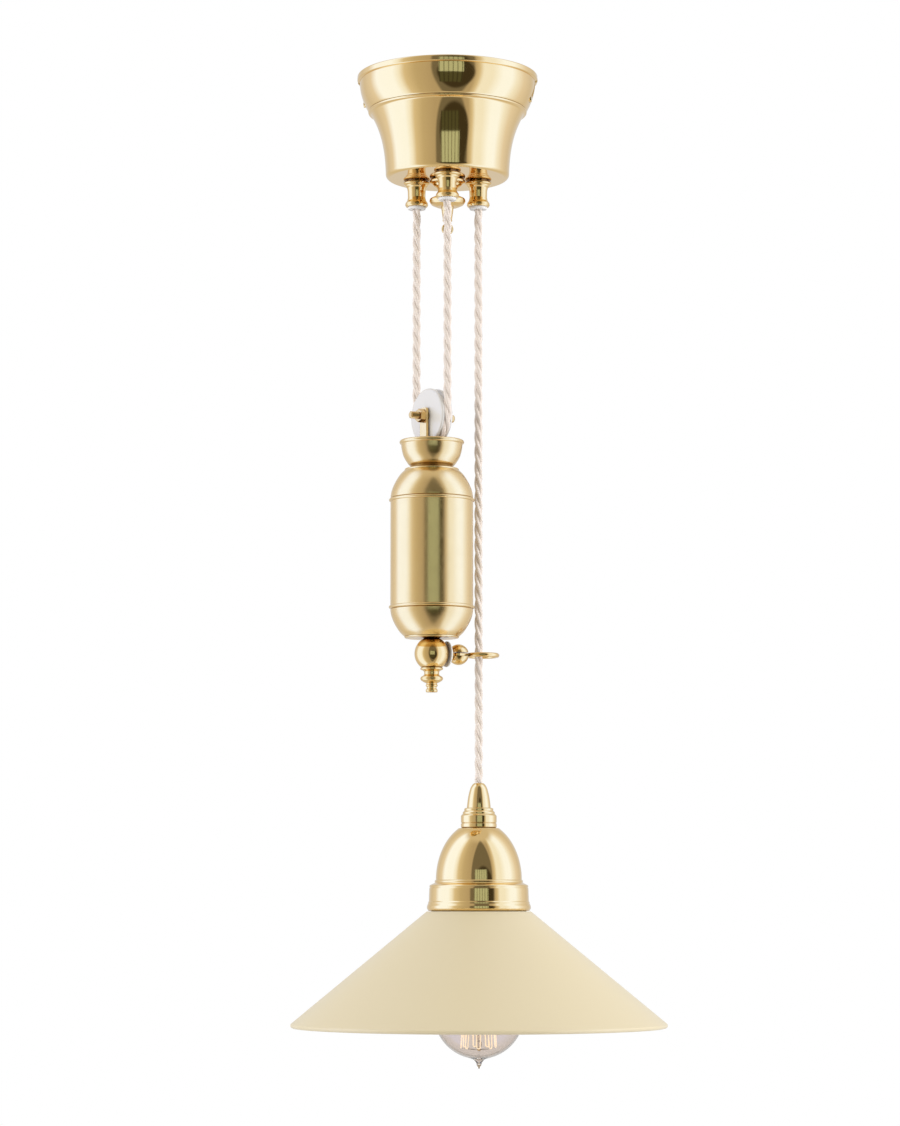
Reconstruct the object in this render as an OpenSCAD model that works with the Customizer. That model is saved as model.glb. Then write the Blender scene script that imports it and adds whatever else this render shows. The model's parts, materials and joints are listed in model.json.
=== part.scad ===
// Rise and fall pendant. A canopy holds three cord glands; a cord runs from the left gland down
// round the counterweight's pulley, up through the front gland, over a sheave inside the canopy
// and down through the right gland to a lamp with a conical glass shade.
// Millimetres. The origin is on the ceiling, on the canopy's axis. +Z is up and -Y faces the room.

/* [Cord] */
// Diameter of the twisted fabric cord
cord_d = 4.8; // [4.2:0.1:5.2]
// Free cord between the glands and the pulley's axle
weight_run = 142.5; // [130:0.5:160]
// Free cord between the right gland and the top of the lamp
lamp_run = 384.5; // [370:0.5:460]

/* [Canopy] */
// Height of the canopy, from the ceiling to its floor
canopy_h = 70; // [68:1:90]
// Radius of the canopy's rim
rim_r = 60.5; // [58:0.5:70]
// Height of the plain lip at the rim
lip_h = 4; // [3:0.5:6]
// Depth of the bead below the ceiling
bead_depth = 24.6; // [22:0.2:27]
// Radius of the canopy at its bead
bead_line_r = 52.5; // [50:0.5:55]
// Radius of the canopy just above its floor
floor_r = 41.2; // [39:0.2:46]
// Radius of the floor's outer corner
floor_corner = 3; // [2:0.5:4]
// Thickness of the spun brass of the canopy
canopy_wall = 1.2; // [0.8:0.1:1.8]

/* [Glands] */
// Radius of the circle that the three glands stand on
gland_circle_r = 22; // [21:0.25:24]
// Angle by which the side glands stand back from the canopy's width
gland_back_angle = 20; // [16:1:24]
// Radius of a gland's collar
gland_collar_r = 8.6; // [8:0.1:9]
// Height of a gland below the canopy's floor
gland_h = 17.5; // [15:0.5:22]
// Radius of a gland's threaded shank
shank_r = 4.9; // [4.7:0.1:5.2]
// Length of the shank above the canopy's floor
shank_h = 9.5; // [9.5:0.5:12]
// Height of a bush's lip below its gland
bush_lip_h = 1.8; // [1:0.1:3]
// Radius of a bush's lip
bush_lip_r = 6; // [5.6:0.1:6.6]

/* [Centre boss] */
// Radius of the boss's collar under the canopy
boss_collar_r = 12; // [11:0.1:12.4]
// Height of the boss
boss_h = 18; // [17:0.5:22]
// Length of the eye's tapered stem
eye_stem_h = 12; // [8:0.5:14]
// Outer radius of the eye
eye_r = 4; // [3.6:0.1:5]
// Radius of the stud that holds the boss
boss_stud_r = 3; // [2.5:0.1:3.2]

/* [Ceiling bracket] */
// Thickness of the bracket's steel strip
bracket_t = 2.5; // [2:0.1:3]
// Width of the bracket's strip
bracket_w = 24; // [20:1:28]
// Angle of the bracket to the canopy's width
bracket_angle = -8; // [-12:1:-4]
// Circle of the two ceiling screw holes
ceiling_pcd = 60; // [54:1:70]
// Radius of a ceiling screw hole
ceiling_hole_r = 2.3; // [2:0.1:2.6]
// Radius of the supply cable's hole
supply_hole_r = 6; // [4:0.5:7]
// Depth of the bayonet pins below the ceiling
pin_depth = 17; // [15:0.5:18]
// Radius of a bayonet pin
pin_r = 2.2; // [1.8:0.1:2.5]
// Lean of the canopy's bayonet slots
slot_lean = 22; // [15:1:28]
// Length of the terminal block
terminal_l = 28; // [24:1:32]

/* [Pulleys] */
// Width of a pulley wheel
wheel_w = 9.5; // [9:0.1:11]
// Height of a wheel's flange outside the cord's centreline
flange_over = 1.3; // [0.8:0.1:2]
// Radius of an axle
axle_r = 2.4; // [2:0.1:2.6]
// Wall of the brass bush in a wheel
wheel_bush_wall = 1.5; // [1:0.1:2]
// Height of the sheave's axle above the canopy's floor
sheave_rise = 34; // [33:0.5:38]
// Width of the yoke's strip
yoke_w = 16; // [12:1:18]
// Thickness of the yoke's strip
yoke_t = 1.8; // [1.5:0.1:2]
// Thickness of the fork's strap
fork_t = 2.2; // [1.8:0.1:2.6]
// Width of the fork's strap
fork_w = 9; // [8.5:0.1:10]
// Length of the weight's axle bolt
axle_l = 35; // [32:0.5:38]

/* [Counterweight] */
// Depth of the cup above its floor
cup_depth = 15.6; // [13:0.2:18]
// Outer radius of the cup below its bead
cup_r = 20; // [19.5:0.1:22]
// Radius of the cup's foot
cup_foot_r = 15; // [13:0.5:16]
// Outer radius of the weight's body
weight_r = 27.3; // [26:0.1:30]
// Height of the upper dome
upper_dome_h = 20; // [17:0.5:22]
// Length of the barrel between its beads
barrel_h = 69; // [60:1:80]
// Height of the lower dome
lower_dome_h = 19.5; // [17:0.5:21]
// Thickness of the weight's spun brass
weight_wall = 1.2; // [0.8:0.1:1.6]
// Radius of the rod through the weight
rod_r = 3; // [2.5:0.1:3.4]
// Radius of the finial's ball
ball_r = 11.4; // [11:0.1:13]
// Height of the turned end below the ball
finial_tail_h = 17; // [14:0.5:20]

/* [Cord guide] */
// Radius of the guide's slotted ball
knuckle_r = 6.9; // [6.5:0.1:7.5]
// Reach of the guide ring's centre past the lamp cord
guide_past_cord = 2.5; // [1.5:0.1:3]
// Outer radius of the guide ring
guide_r = 11.5; // [11:0.1:12]
// Radius of the guide ring's wire
guide_wire_r = 1.6; // [1.3:0.1:1.8]
// Thickness of the guide's tab in the slot
tab_t = 2.4; // [2:0.1:2.8]

/* [Lamp] */
// Height of the cord grip's cone
grip_h = 16.3; // [14:0.5:20]
// Radius of the stepped collar
collar_r = 12; // [11:0.1:13]
// Height of the stepped collar
collar_h = 12; // [11:0.2:15]
// Radius of the holder's dome at its lower edge
dome_r = 28.3; // [27:0.1:30]
// Height of the holder's dome
dome_h = 35.2; // [33:0.2:37]
// Radius of the gallery's band
band_r = 32.9; // [31.5:0.1:34]
// Height of the gallery under the dome
band_h = 20.3; // [18:0.5:24]
// Thickness of the holder's spun brass
holder_wall = 1.2; // [0.8:0.1:1.5]

/* [Shade] */
// Diameter of the glass shade
shade_d = 247; // [200:1:300]
// Height of the shade below the gallery
shade_h = 76; // [60:0.5:90]
// Thickness of the glass
shade_wall = 4; // [3:0.1:5]

/* [Lampholder and bulb] */
// Radius of the lampholder's threaded barrel
holder_barrel_r = 19.5; // [18.5:0.1:20.5]
// Radius of the lamp cap's thread
cap_r = 13.2; // [12.8:0.1:13.3]
// Length of the lamp cap's threaded shell
cap_h = 23; // [21:0.5:25]
// Diameter of the bulb's globe
bulb_d = 60; // [55:1:66]
// Length of the bulb, from the cap's contact to the globe's end
bulb_l = 103.5; // [102:0.5:112]
// Radius of the filament's cage at its lower bends
cage_r = 12.3; // [11:0.1:13]

/* [Hidden] */
$fn = 96;

BRASS = "#c9a04c";
STEEL = "#a9abad";
IRON = "#4a4a4c";
WHITE = "#f2f0ea";
OPAL = "#f1e3bd";
CLEAR = "#dfe6e6";
CORD = "#e6d9c6";
GLOW = "#e08a3a";

// Clearances
fit_gap = 0.1;         // threads and bushes that are fixed
run_gap = 0.05;        // a wheel's bush on its axle, and a pin in its hole
cord_gap = 0.4;        // the cord in a gland or a grip
groove_gap = 0.3;      // the cord in a wheel's groove
side_gap = 0.45;       // a wheel between its cheeks
slot_gap = 0.3;        // a bayonet pin in its slot
tab_gap = 0.8;         // the bracket's lug inside the canopy
above_rod_gap = 3.2;   // the cord above the weight's rod

// Fixed small sizes
nut_h = 4;
locknut_h = 3.5;
cord_r = cord_d / 2;
cord_hole_r = cord_r + cord_gap;

// Heights
floor_z = -canopy_h;
inner_floor_z = floor_z + canopy_wall;
exit_z = floor_z - gland_h - bush_lip_h;
axle_z = exit_z - weight_run;
lamp_z = exit_z - lamp_run;

// The three glands
front = [0, -gland_circle_r];
right = gland_circle_r * [cos(gland_back_angle), sin(gland_back_angle)];
left = [-right[0], right[1]];
groove_r = norm(right - front) / 2;
axle_angle = 45 - gland_back_angle / 2;
weight_at = (left + front) / 2;
sheave_at = (right + front) / 2;
sheave_z = inner_floor_z + sheave_rise;

// Pulleys
flange_r = groove_r + flange_over;
wheel_bush_r = axle_r + run_gap + wheel_bush_wall;
cheek_in = wheel_w / 2 + side_gap;

// Counterweight
rod_top_z = axle_z - groove_r - cord_r - above_rod_gap;
rod_over = 1.5;
rod_nut_z = rod_top_z - rod_over - nut_h;
cup_floor_z = rod_nut_z - fork_t;
cup_wall = 1.5;
cup_rim_z = cup_floor_z + cup_depth;
cup_foot_h = 1.9;
upper_dome_z = cup_floor_z - cup_wall - cup_foot_h;
bead_r = 1;
upper_curve = upper_dome_h * 1.3;
lower_curve = lower_dome_h * 1.36;
barrel_z = upper_dome_z - upper_dome_h - 2 * bead_r;
lower_dome_z = barrel_z - barrel_h;
weight_end_z = lower_dome_z - 2 * bead_r - lower_dome_h;
ball_sink = 1.2;
ball_z = weight_end_z - ball_r + ball_sink;
rod_into_ball = 13;

// Cord guide
guide_to = right - weight_at;
guide_angle = atan2(guide_to[1], guide_to[0]);
guide_centre = norm(guide_to) + guide_past_cord;
ball_flat = ball_r - 1;
guide_washer_t = 1;
knuckle_flange_t = 2;
knuckle_seat = ball_flat + guide_washer_t;
knuckle_at = knuckle_seat + knuckle_flange_t + knuckle_r - 0.8;
guide_pin_r = 1.2;

// Lamp
collar_z = lamp_z - grip_h;
dome_z = collar_z - collar_h;
band_z = dome_z - dome_h;
band_end_z = band_z - band_h;
shade_z = band_end_z - 0.3;
shade_seat_h = 4.2;
shade_top_r = band_r - holder_wall - 0.5;
shade_foot_r = band_r + 1.4;
barrel_end_z = shade_z - 21;
contact_z = shade_z + 6.4;
globe_z = contact_z - bulb_l + bulb_d / 2;
cap_end_z = contact_z - 2.4 - cap_h;
glass_r = cap_r - 0.5;
pip_h = 5.4;

// Helpers
function arc(c, r, from, to, n = 12) =
  [for (i = [0:n]) c + r * [cos(from + (to - from) * i / n), sin(from + (to - from) * i / n)]];
function oval(c, rx, rz, from, to, n = 18) =
  [for (i = [0:n]) let (a = from + (to - from) * i / n) c + [rx * cos(a), rz * sin(a)]];
function reversed(list) = [for (i = [len(list) - 1:-1:0]) list[i]];
function shifted(list, by) = [for (p = list) p + by];
function hermite(p, m, q, n, t) =
  (2 * pow(t, 3) - 3 * pow(t, 2) + 1) * p + (pow(t, 3) - 2 * pow(t, 2) + t) * m
  + (3 * pow(t, 2) - 2 * pow(t, 3)) * q + (pow(t, 3) - pow(t, 2)) * n;

module spun(outline) rotate_extrude() polygon(outline);

module tube(r, hole, h) {
  difference() {
    cylinder(r = r, h = h);
    translate([0, 0, -1]) cylinder(r = hole, h = h + 2);
  }
}

module hex_nut(flats, hole, h) {
  difference() {
    cylinder(d = flats / cos(30), h = h, $fn = 6);
    translate([0, 0, -1]) cylinder(r = hole, h = h + 2, $fn = 96);
  }
}

// Local Z turned to lie along a level axle at this azimuth
module along(at, z, azimuth) translate([at[0], at[1], z]) rotate([0, 0, azimuth]) rotate([0, 90, 0]) children();

module rod_between(p, q, r) {
  d = q - p;
  translate(p)
    rotate([0, acos(d[2] / norm(d)), atan2(d[1], d[0])])
      cylinder(r = r, h = norm(d), $fn = 16);
}

// ---- Canopy ----
lip_step = 1.6;
bead_bump = 0.9;
canopy_wall_h = canopy_wall * 1.15;
upper_depths = [for (i = [0:10]) lip_h + (bead_depth - bead_bump - lip_h) * i / 10];
lower_depths = [for (i = [0:16])
  bead_depth + bead_bump + (canopy_h - floor_corner - bead_depth - bead_bump) * i / 16];

// Radius of the canopy's outside at a depth below the ceiling
function canopy_r(depth) =
  depth < bead_depth
    ? bead_line_r + (rim_r - lip_step - bead_line_r) * (1 - pow((depth - lip_h) / (bead_depth - lip_h), 2))
    : let (t = (depth - bead_depth) / (canopy_h - bead_depth))
      floor_r + (bead_line_r - 0.6 - floor_r) * (0.85 * pow(1 - t, 2.8) + 0.15 * (1 - t));

canopy_side = concat(
  [for (d = upper_depths) [canopy_r(d), -d]],
  arc([bead_line_r - 0.2, -bead_depth], bead_bump, 60, -60, 6),
  [for (d = lower_depths) [canopy_r(d), -d]]);
corner_r = canopy_r(canopy_h - floor_corner);
canopy_outline = concat(
  [[rim_r - canopy_wall, 0]],
  arc([rim_r - 1, -1], 1, 90, 0, 4),
  arc([rim_r - 1, 1 - lip_h], 1, 0, -60, 4),
  canopy_side,
  arc([corner_r - floor_corner, floor_z + floor_corner], floor_corner, 0, -90, 8),
  [[0, floor_z], [0, inner_floor_z]],
  arc([corner_r - floor_corner, floor_z + floor_corner], floor_corner - canopy_wall, -90, 0, 8),
  shifted([for (d = reversed(lower_depths)) [canopy_r(d), -d]], [-canopy_wall_h, 0]),
  shifted([for (d = reversed(upper_depths)) [canopy_r(d), -d]], [-canopy_wall_h, 0]));

module bayonet_slot() {
  reach = 14;
  half = pin_r + slot_gap;
  translate([canopy_r(pin_depth) - reach / 2, 0, -pin_depth])
    rotate([-slot_lean, 0, 0]) {
      rotate([0, 90, 0]) cylinder(r = half, h = reach);
      translate([0, -half, 0]) cube([reach, 2 * half, pin_depth * 2]);
    }
}

module canopy_shell() {
  color(BRASS) difference() {
    spun(canopy_outline);
    for (p = [left, front, right])
      translate([p[0], p[1], floor_z - 1]) cylinder(r = shank_r + fit_gap, h = canopy_wall + 2);
    translate([0, 0, floor_z - 1]) cylinder(r = boss_stud_r + fit_gap, h = canopy_wall + 2);
    for (a = [0, 180]) rotate([0, 0, bracket_angle + a]) bayonet_slot();
  }
}

// ---- Ceiling bracket ----
lug_over = 4;
lug_w = 14;
lug_r = canopy_r(pin_depth + lug_over) - canopy_wall_h - tab_gap;
terminal_w = 16;
terminal_h = 12;
shelf_y = bracket_w / 2 - 2;

module ceiling_bracket() {
  color(STEEL) rotate([0, 0, bracket_angle]) difference() {
    union() {
      translate([-lug_r, -bracket_w / 2, -bracket_t]) cube([2 * lug_r, bracket_w, bracket_t]);
      translate([-terminal_l / 2, 0, -bracket_t]) cube([terminal_l, shelf_y + terminal_w, bracket_t]);
      for (a = [0, 180]) rotate([0, 0, a])
        translate([lug_r - bracket_t, -lug_w / 2, -pin_depth - lug_over])
          cube([bracket_t, lug_w, pin_depth + lug_over]);
    }
    for (s = [-1, 1]) translate([s * ceiling_pcd / 2, 0, -bracket_t - 1])
      cylinder(r = ceiling_hole_r, h = bracket_t + 2);
    translate([0, 0, -bracket_t - 1]) cylinder(r = supply_hole_r, h = bracket_t + 2);
    for (a = [0, 180]) rotate([0, 0, a]) along([lug_r - bracket_t - 1, 0], -pin_depth, 0)
      cylinder(r = pin_r, h = bracket_t + 2);
    translate([earth_at, 0, -bracket_t - 1]) cylinder(r = earth_r, h = bracket_t + 2);
  }
}

module bayonet_pins() {
  over = 0.5;
  inside = 3;
  color(BRASS) for (a = [0, 180]) rotate([0, 0, bracket_angle + a]) {
    along([lug_r - bracket_t - inside, 0], -pin_depth, 0)
      cylinder(r = pin_r, h = canopy_r(pin_depth) + over - lug_r + bracket_t + inside);
    along([lug_r - bracket_t - inside, 0], -pin_depth, 0) cylinder(r = pin_r + 1.6, h = inside);
  }
}

earth_r = 2;
earth_at = (ceiling_pcd / 2 + supply_hole_r) / 2 - 1;
earth_head_r = 3.2;

module earth_screw() {
  color(BRASS) rotate([0, 0, bracket_angle]) translate([earth_at, 0, 0]) difference() {
    union() {
      translate([0, 0, -bracket_t - 4]) cylinder(r = earth_r, h = bracket_t + 3.5);
      translate([0, 0, -bracket_t - 4]) cylinder(r = earth_head_r, h = 2.4);
      translate([0, 0, -bracket_t - 1]) cylinder(r = earth_head_r + 1, h = 1);
    }
    translate([-5, -0.5, -bracket_t - 4.5]) cube([10, 1, 1.3]);
  }
}

terminal_holes = [-1, 0, 1];

module terminal_block() {
  color(WHITE) rotate([0, 0, bracket_angle]) difference() {
    translate([-terminal_l / 2, shelf_y, -bracket_t - terminal_h]) cube([terminal_l, terminal_w, terminal_h]);
    for (i = terminal_holes) {
      translate([i * terminal_l / 3.4, shelf_y + terminal_w / 2, -bracket_t - terminal_h - 1])
        cylinder(r = 2, h = terminal_h - 2);
      translate([i * terminal_l / 3.4, shelf_y - 1, -bracket_t - terminal_h / 3])
        rotate([-90, 0, 0]) cylinder(r = 1.5, h = terminal_w + 2);
    }
  }
}

module terminal_screws() {
  color(BRASS) rotate([0, 0, bracket_angle]) for (i = terminal_holes)
    translate([i * terminal_l / 3.4, shelf_y + terminal_w / 2, -bracket_t - terminal_h + 0.5])
      difference() {
        cylinder(r = 1.9, h = terminal_h - 5);
        translate([-3, -0.4, -1]) cube([6, 0.8, 1.8]);
      }
}

// ---- Glands ----
gland_neck_r = 6;
gland_mouth_r = 7.65;
bush_socket_h = 6;
bush_r = bush_lip_r - 1.2;

gland_outline = concat(
  [[cord_hole_r, shank_h + canopy_wall], [shank_r, shank_h + canopy_wall], [shank_r, 0]],
  arc([gland_collar_r - 1.6, -1.6], 1.6, 90, -50, 8),
  [for (i = [0:8]) let (t = i / 8)
    [gland_neck_r + (gland_mouth_r - gland_neck_r) * (1 - cos(180 * t)) / 2, -gland_h * (0.33 + 0.34 * t)]],
  arc([gland_mouth_r - 1.4, -gland_h + 2.8], 1.4, 0, -45, 4),
  [[bush_lip_r + 0.4, -gland_h], [bush_r, -gland_h], [bush_r, -gland_h + bush_socket_h],
   [cord_hole_r, -gland_h + bush_socket_h]]);

module gland(at) color(BRASS) translate([at[0], at[1], floor_z]) spun(gland_outline);

module bush(at) {
  color(WHITE) translate([at[0], at[1], exit_z])
    spun(concat(
      [[cord_hole_r, 0]],
      arc([bush_lip_r - 0.7, 0.7], 0.7, -90, 0, 4),
      [[bush_lip_r, bush_lip_h], [bush_r, bush_lip_h], [bush_r, bush_lip_h + bush_socket_h],
       [cord_hole_r, bush_lip_h + bush_socket_h]]));
}

module gland_left() gland(left);
module gland_front() gland(front);
module gland_right() gland(right);
module bush_left() bush(left);
module bush_front() bush(front);
module bush_right() bush(right);

locknut_flats = 14;

module gland_locknuts() {
  color(BRASS) {
    translate([left[0], left[1], inner_floor_z])
      rotate([0, 0, 90 - axle_angle]) hex_nut(locknut_flats, shank_r + fit_gap, locknut_h);
    for (p = [front, right]) translate([p[0], p[1], inner_floor_z + yoke_t])
      rotate([0, 0, 90 - axle_angle]) hex_nut(locknut_flats, shank_r + fit_gap, locknut_h);
  }
}

// ---- Centre boss and its eye ----
boss_waist_r = 7.5;
boss_bell_r = 11.75;
eye_wire_r = 1;
eye_stub_r = 2.5;
eye_stub_h = 6;
boss_end_z = floor_z - boss_h;
boss_nut_flats = 10;

module centre_boss() {
  color(BRASS) translate([0, 0, floor_z]) difference() {
    union() {
      cylinder(r = boss_stud_r, h = canopy_wall + nut_h + 1.5);
      spun(concat(
        [[0, 0]],
        arc([boss_collar_r - 1.8, -1.8], 1.8, 90, -50, 8),
        [for (i = [0:8]) let (t = i / 8)
          [boss_waist_r + (boss_bell_r - 1 - boss_waist_r) * pow(t, 2), -boss_h * (0.28 + 0.42 * t)]],
        arc([boss_bell_r - 1.4, -boss_h * 0.8], 1.4, 45, -45, 6),
        [for (i = [1:8]) let (t = i / 8) [(boss_bell_r - 0.4) * cos(70 * t), -boss_h * (0.85 + 0.15 * sin(90 * t))]],
        [[0, -boss_h]]));
    }
    translate([0, 0, -boss_h - 1]) cylinder(r = eye_stub_r, h = eye_stub_h + 1);
  }
}

module boss_nut() {
  color(BRASS) translate([0, 0, inner_floor_z]) rotate([0, 0, 30 - axle_angle])
    hex_nut(boss_nut_flats, boss_stud_r + fit_gap, nut_h);
}

module drop_eye() {
  neck_r = 1.7;
  color(BRASS) translate([0, 0, boss_end_z]) {
    spun([[0, eye_stub_h - fit_gap], [eye_stub_r - fit_gap, eye_stub_h - fit_gap], [eye_stub_r - fit_gap, 0],
      [4.6, 0], [4.6, -1.2], [3, -eye_stem_h * 0.8], [3.3, -eye_stem_h * 0.87], [neck_r, -eye_stem_h * 0.93],
      [neck_r, -eye_stem_h - eye_wire_r], [0, -eye_stem_h - eye_wire_r]]);
    translate([0, 0, -eye_stem_h - eye_r]) rotate([90, 0, 0])
      rotate_extrude() translate([eye_r - eye_wire_r, 0]) circle(r = eye_wire_r);
  }
}

// ---- Inside the canopy ----
stop_r = 7;
stop_h = 10;
shank_top_z = inner_floor_z + shank_h;

stop_screw_r = 1.5;

module cord_stop() {
  color(BRASS) translate([left[0], left[1], shank_top_z]) {
    difference() {
      tube(stop_r, cord_r, stop_h);
      translate([0, 0, stop_h / 2]) rotate([-90, 0, 0]) cylinder(r = stop_screw_r + fit_gap, h = stop_r + 1);
    }
    translate([0, cord_r + 0.2, stop_h / 2]) rotate([-90, 0, 0]) cylinder(r = stop_screw_r, h = stop_r - cord_r + 1.5);
  }
}

cheek_half = 9;
yoke_hole_out = locknut_flats / 2 + 1;

module sheave_yoke() {
  outer = cheek_in + yoke_t;
  rise = sheave_rise + 6;
  color(STEEL) translate([sheave_at[0], sheave_at[1], inner_floor_z]) rotate([0, 0, -axle_angle])
    difference() {
      union() {
        translate([-outer, -groove_r - yoke_hole_out, 0]) cube([2 * outer, 2 * (groove_r + yoke_hole_out), yoke_t]);
        for (s = [-1, 1]) translate([s > 0 ? cheek_in : -outer, 0, 0]) {
          translate([0, -yoke_w / 2, 0]) cube([yoke_t, yoke_w, rise - yoke_w / 2]);
          translate([0, 0, rise - yoke_w / 2]) rotate([0, 90, 0]) cylinder(d = yoke_w, h = yoke_t);
        }
      }
      for (s = [-1, 1]) translate([0, s * groove_r, -1]) cylinder(r = shank_r + fit_gap, h = yoke_t + 2);
      translate([-outer - 1, 0, sheave_rise]) rotate([0, 90, 0]) cylinder(r = axle_r, h = 2 * outer + 2);
    }
}

module sheave_axle() {
  outer = cheek_in + yoke_t;
  color(STEEL) along(sheave_at, sheave_z, -axle_angle) {
    translate([0, 0, -outer - 1.5]) cylinder(r = axle_r + 1.4, h = 1.5);
    translate([0, 0, -outer - 1.5]) cylinder(r = axle_r, h = 2 * outer + 3.5);
    translate([0, 0, outer]) cylinder(r = axle_r + 1.1, h = 1);
  }
}

// ---- Pulley wheels ----
groove_cut = cord_r + groove_gap;
rim_edge = sqrt(pow(groove_cut, 2) - pow(flange_over - 0.6, 2));
dish_depth = 0.8;
dish_out = groove_r - groove_cut - 1.5;
dish_in = wheel_bush_r + 2.5;
wheel_side = [[wheel_bush_r, wheel_w / 2], [dish_in, wheel_w / 2], [dish_in + 1, wheel_w / 2 - dish_depth],
  [dish_out - 1, wheel_w / 2 - dish_depth], [dish_out, wheel_w / 2], [flange_r - 0.6, wheel_w / 2],
  [flange_r, wheel_w / 2 - 0.6], [flange_r, rim_edge + 0.5], [flange_r - 0.6, rim_edge]];
groove_start = asin((flange_over - 0.6) / groove_cut);
wheel_outline = concat(
  wheel_side,
  arc([groove_r, 0], groove_cut, 90 - groove_start + 2 * groove_start, 270 - 2 * groove_start + groove_start, 14),
  [for (p = reversed(wheel_side)) [p[0], -p[1]]]);

module wheel() color(WHITE) spun(wheel_outline);
module wheel_bush() color(BRASS) translate([0, 0, -wheel_w / 2]) tube(wheel_bush_r, axle_r + run_gap, wheel_w);

module ceiling_sheave() along(sheave_at, sheave_z, -axle_angle) wheel();
module sheave_bush() along(sheave_at, sheave_z, -axle_angle) wheel_bush();
module weight_pulley() along(weight_at, axle_z, axle_angle) wheel();
module pulley_bush() along(weight_at, axle_z, axle_angle) wheel_bush();

// ---- The counterweight's fork and axle ----
fork_out = cheek_in + fork_t;
fork_over = 5.6;
axle_flats = 8;

module pulley_fork() {
  rise = axle_z - cup_floor_z;
  corner = 2.5;
  color(BRASS) translate([weight_at[0], weight_at[1], cup_floor_z]) rotate([0, 0, axle_angle])
    difference() {
      union() {
        translate([-fork_out, -fork_w / 2, 0]) cube([2 * fork_out, fork_w, fork_t]);
        for (x = [-fork_out, cheek_in]) translate([x, 0, 0]) {
          translate([0, -fork_w / 2, 0]) cube([fork_t, fork_w, rise + fork_over - corner]);
          translate([0, corner - fork_w / 2, 0]) cube([fork_t, fork_w - 2 * corner, rise + fork_over]);
          for (s = [-1, 1]) translate([0, s * (fork_w / 2 - corner), rise + fork_over - corner])
            rotate([0, 90, 0]) cylinder(r = corner, h = fork_t);
        }
      }
      translate([0, 0, -1]) cylinder(r = rod_r + fit_gap, h = fork_t + 2);
      translate([-fork_out - 1, 0, rise]) rotate([0, 90, 0]) cylinder(r = axle_r, h = 2 * fork_out + 2);
    }
}

module pulley_axle() {
  tip = 1.2;
  color(STEEL) along(weight_at, axle_z, axle_angle)
    spun([[0, -axle_l / 2], [axle_r - tip, -axle_l / 2], [axle_r - 0.3, -axle_l / 2 + 0.5],
      [axle_r, -axle_l / 2 + tip], [axle_r, axle_l / 2 - tip], [axle_r - 0.3, axle_l / 2 - 0.5],
      [axle_r - tip, axle_l / 2], [0, axle_l / 2]]);
}

module axle_nuts() {
  color(BRASS) along(weight_at, axle_z, axle_angle) for (z = [-fork_out - nut_h, fork_out])
    translate([0, 0, z]) rotate([0, 0, 30]) hex_nut(axle_flats, axle_r + 0.02, nut_h);
}

// ---- Counterweight body ----
cup_bead_r = 1.4;
cup_curve_h = 8.5;

module weight_cup() {
  neck = cup_foot_r;
  rim = cup_rim_z - cup_floor_z;
  side = [for (i = [0:8]) let (t = i / 8)
    [neck + (cup_r - 0.7 - neck) * sin(90 * t), -cup_wall + cup_curve_h * t]];
  color(BRASS) translate([weight_at[0], weight_at[1], cup_floor_z]) difference() {
    spun(concat(
      [[0, -cup_wall - cup_foot_h], [neck, -cup_wall - cup_foot_h], [neck, -cup_wall]],
      side,
      [[cup_r - 0.4, rim - 2 * cup_bead_r]],
      arc([cup_r, rim - cup_bead_r], cup_bead_r, -80, 100, 8),
      [[cup_r - cup_wall, rim]],
      shifted(reversed([for (p = side) if (p[1] > 0) p]), [-cup_wall, 0]),
      [[neck - 1.2, 0], [0, 0]]));
    translate([0, 0, -10]) cylinder(r = rod_r + fit_gap, h = 20);
  }
}

module rod_nut() {
  color(STEEL) translate([weight_at[0], weight_at[1], rod_nut_z])
    rotate([0, 0, axle_angle]) hex_nut(fork_w, rod_r + fit_gap, nut_h);
}

module centre_rod() {
  color(STEEL) translate([weight_at[0], weight_at[1], weight_end_z - rod_into_ball])
    cylinder(r = rod_r, h = rod_top_z - weight_end_z + rod_into_ball);
}

function dome_angle(h, curve) = asin(h / curve);

module weight_upper_dome() {
  top = dome_angle(upper_dome_h, upper_curve);
  base = upper_dome_z - upper_dome_h;
  inner_top = asin((upper_dome_h - weight_wall) / (upper_curve - weight_wall));
  color(BRASS) translate([weight_at[0], weight_at[1], 0]) difference() {
    spun(concat(
      [[0, upper_dome_z]],
      oval([0, base], weight_r, upper_curve, top, 4),
      arc([weight_r, base - bead_r], bead_r, 80, -90, 8),
      [[weight_r - weight_wall, base - 2 * bead_r]],
      oval([0, base], weight_r - weight_wall, upper_curve - weight_wall, 0, inner_top),
      [[0, upper_dome_z - weight_wall]]));
    translate([0, 0, base]) cylinder(r = rod_r + fit_gap, h = upper_dome_h + 5);
  }
}

module weight_barrel() {
  color(BRASS) translate([weight_at[0], weight_at[1], lower_dome_z])
    tube(weight_r, weight_r - weight_wall, barrel_h);
}

module weight_lower_dome() {
  end = dome_angle(lower_dome_h, lower_curve);
  base = lower_dome_z - 2 * bead_r;
  inner_end = asin((lower_dome_h - weight_wall) / (lower_curve - weight_wall));
  color(BRASS) translate([weight_at[0], weight_at[1], 0]) difference() {
    spun(concat(
      [[weight_r - weight_wall, lower_dome_z]],
      arc([weight_r, lower_dome_z - bead_r], bead_r, 90, -80, 8),
      oval([0, base], weight_r, lower_curve, -4, -end),
      [[0, weight_end_z], [0, weight_end_z + weight_wall]],
      oval([0, base], weight_r - weight_wall, lower_curve - weight_wall, -inner_end, 0)));
    translate([0, 0, weight_end_z - 1]) cylinder(r = rod_r + fit_gap, h = 5);
  }
}

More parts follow.
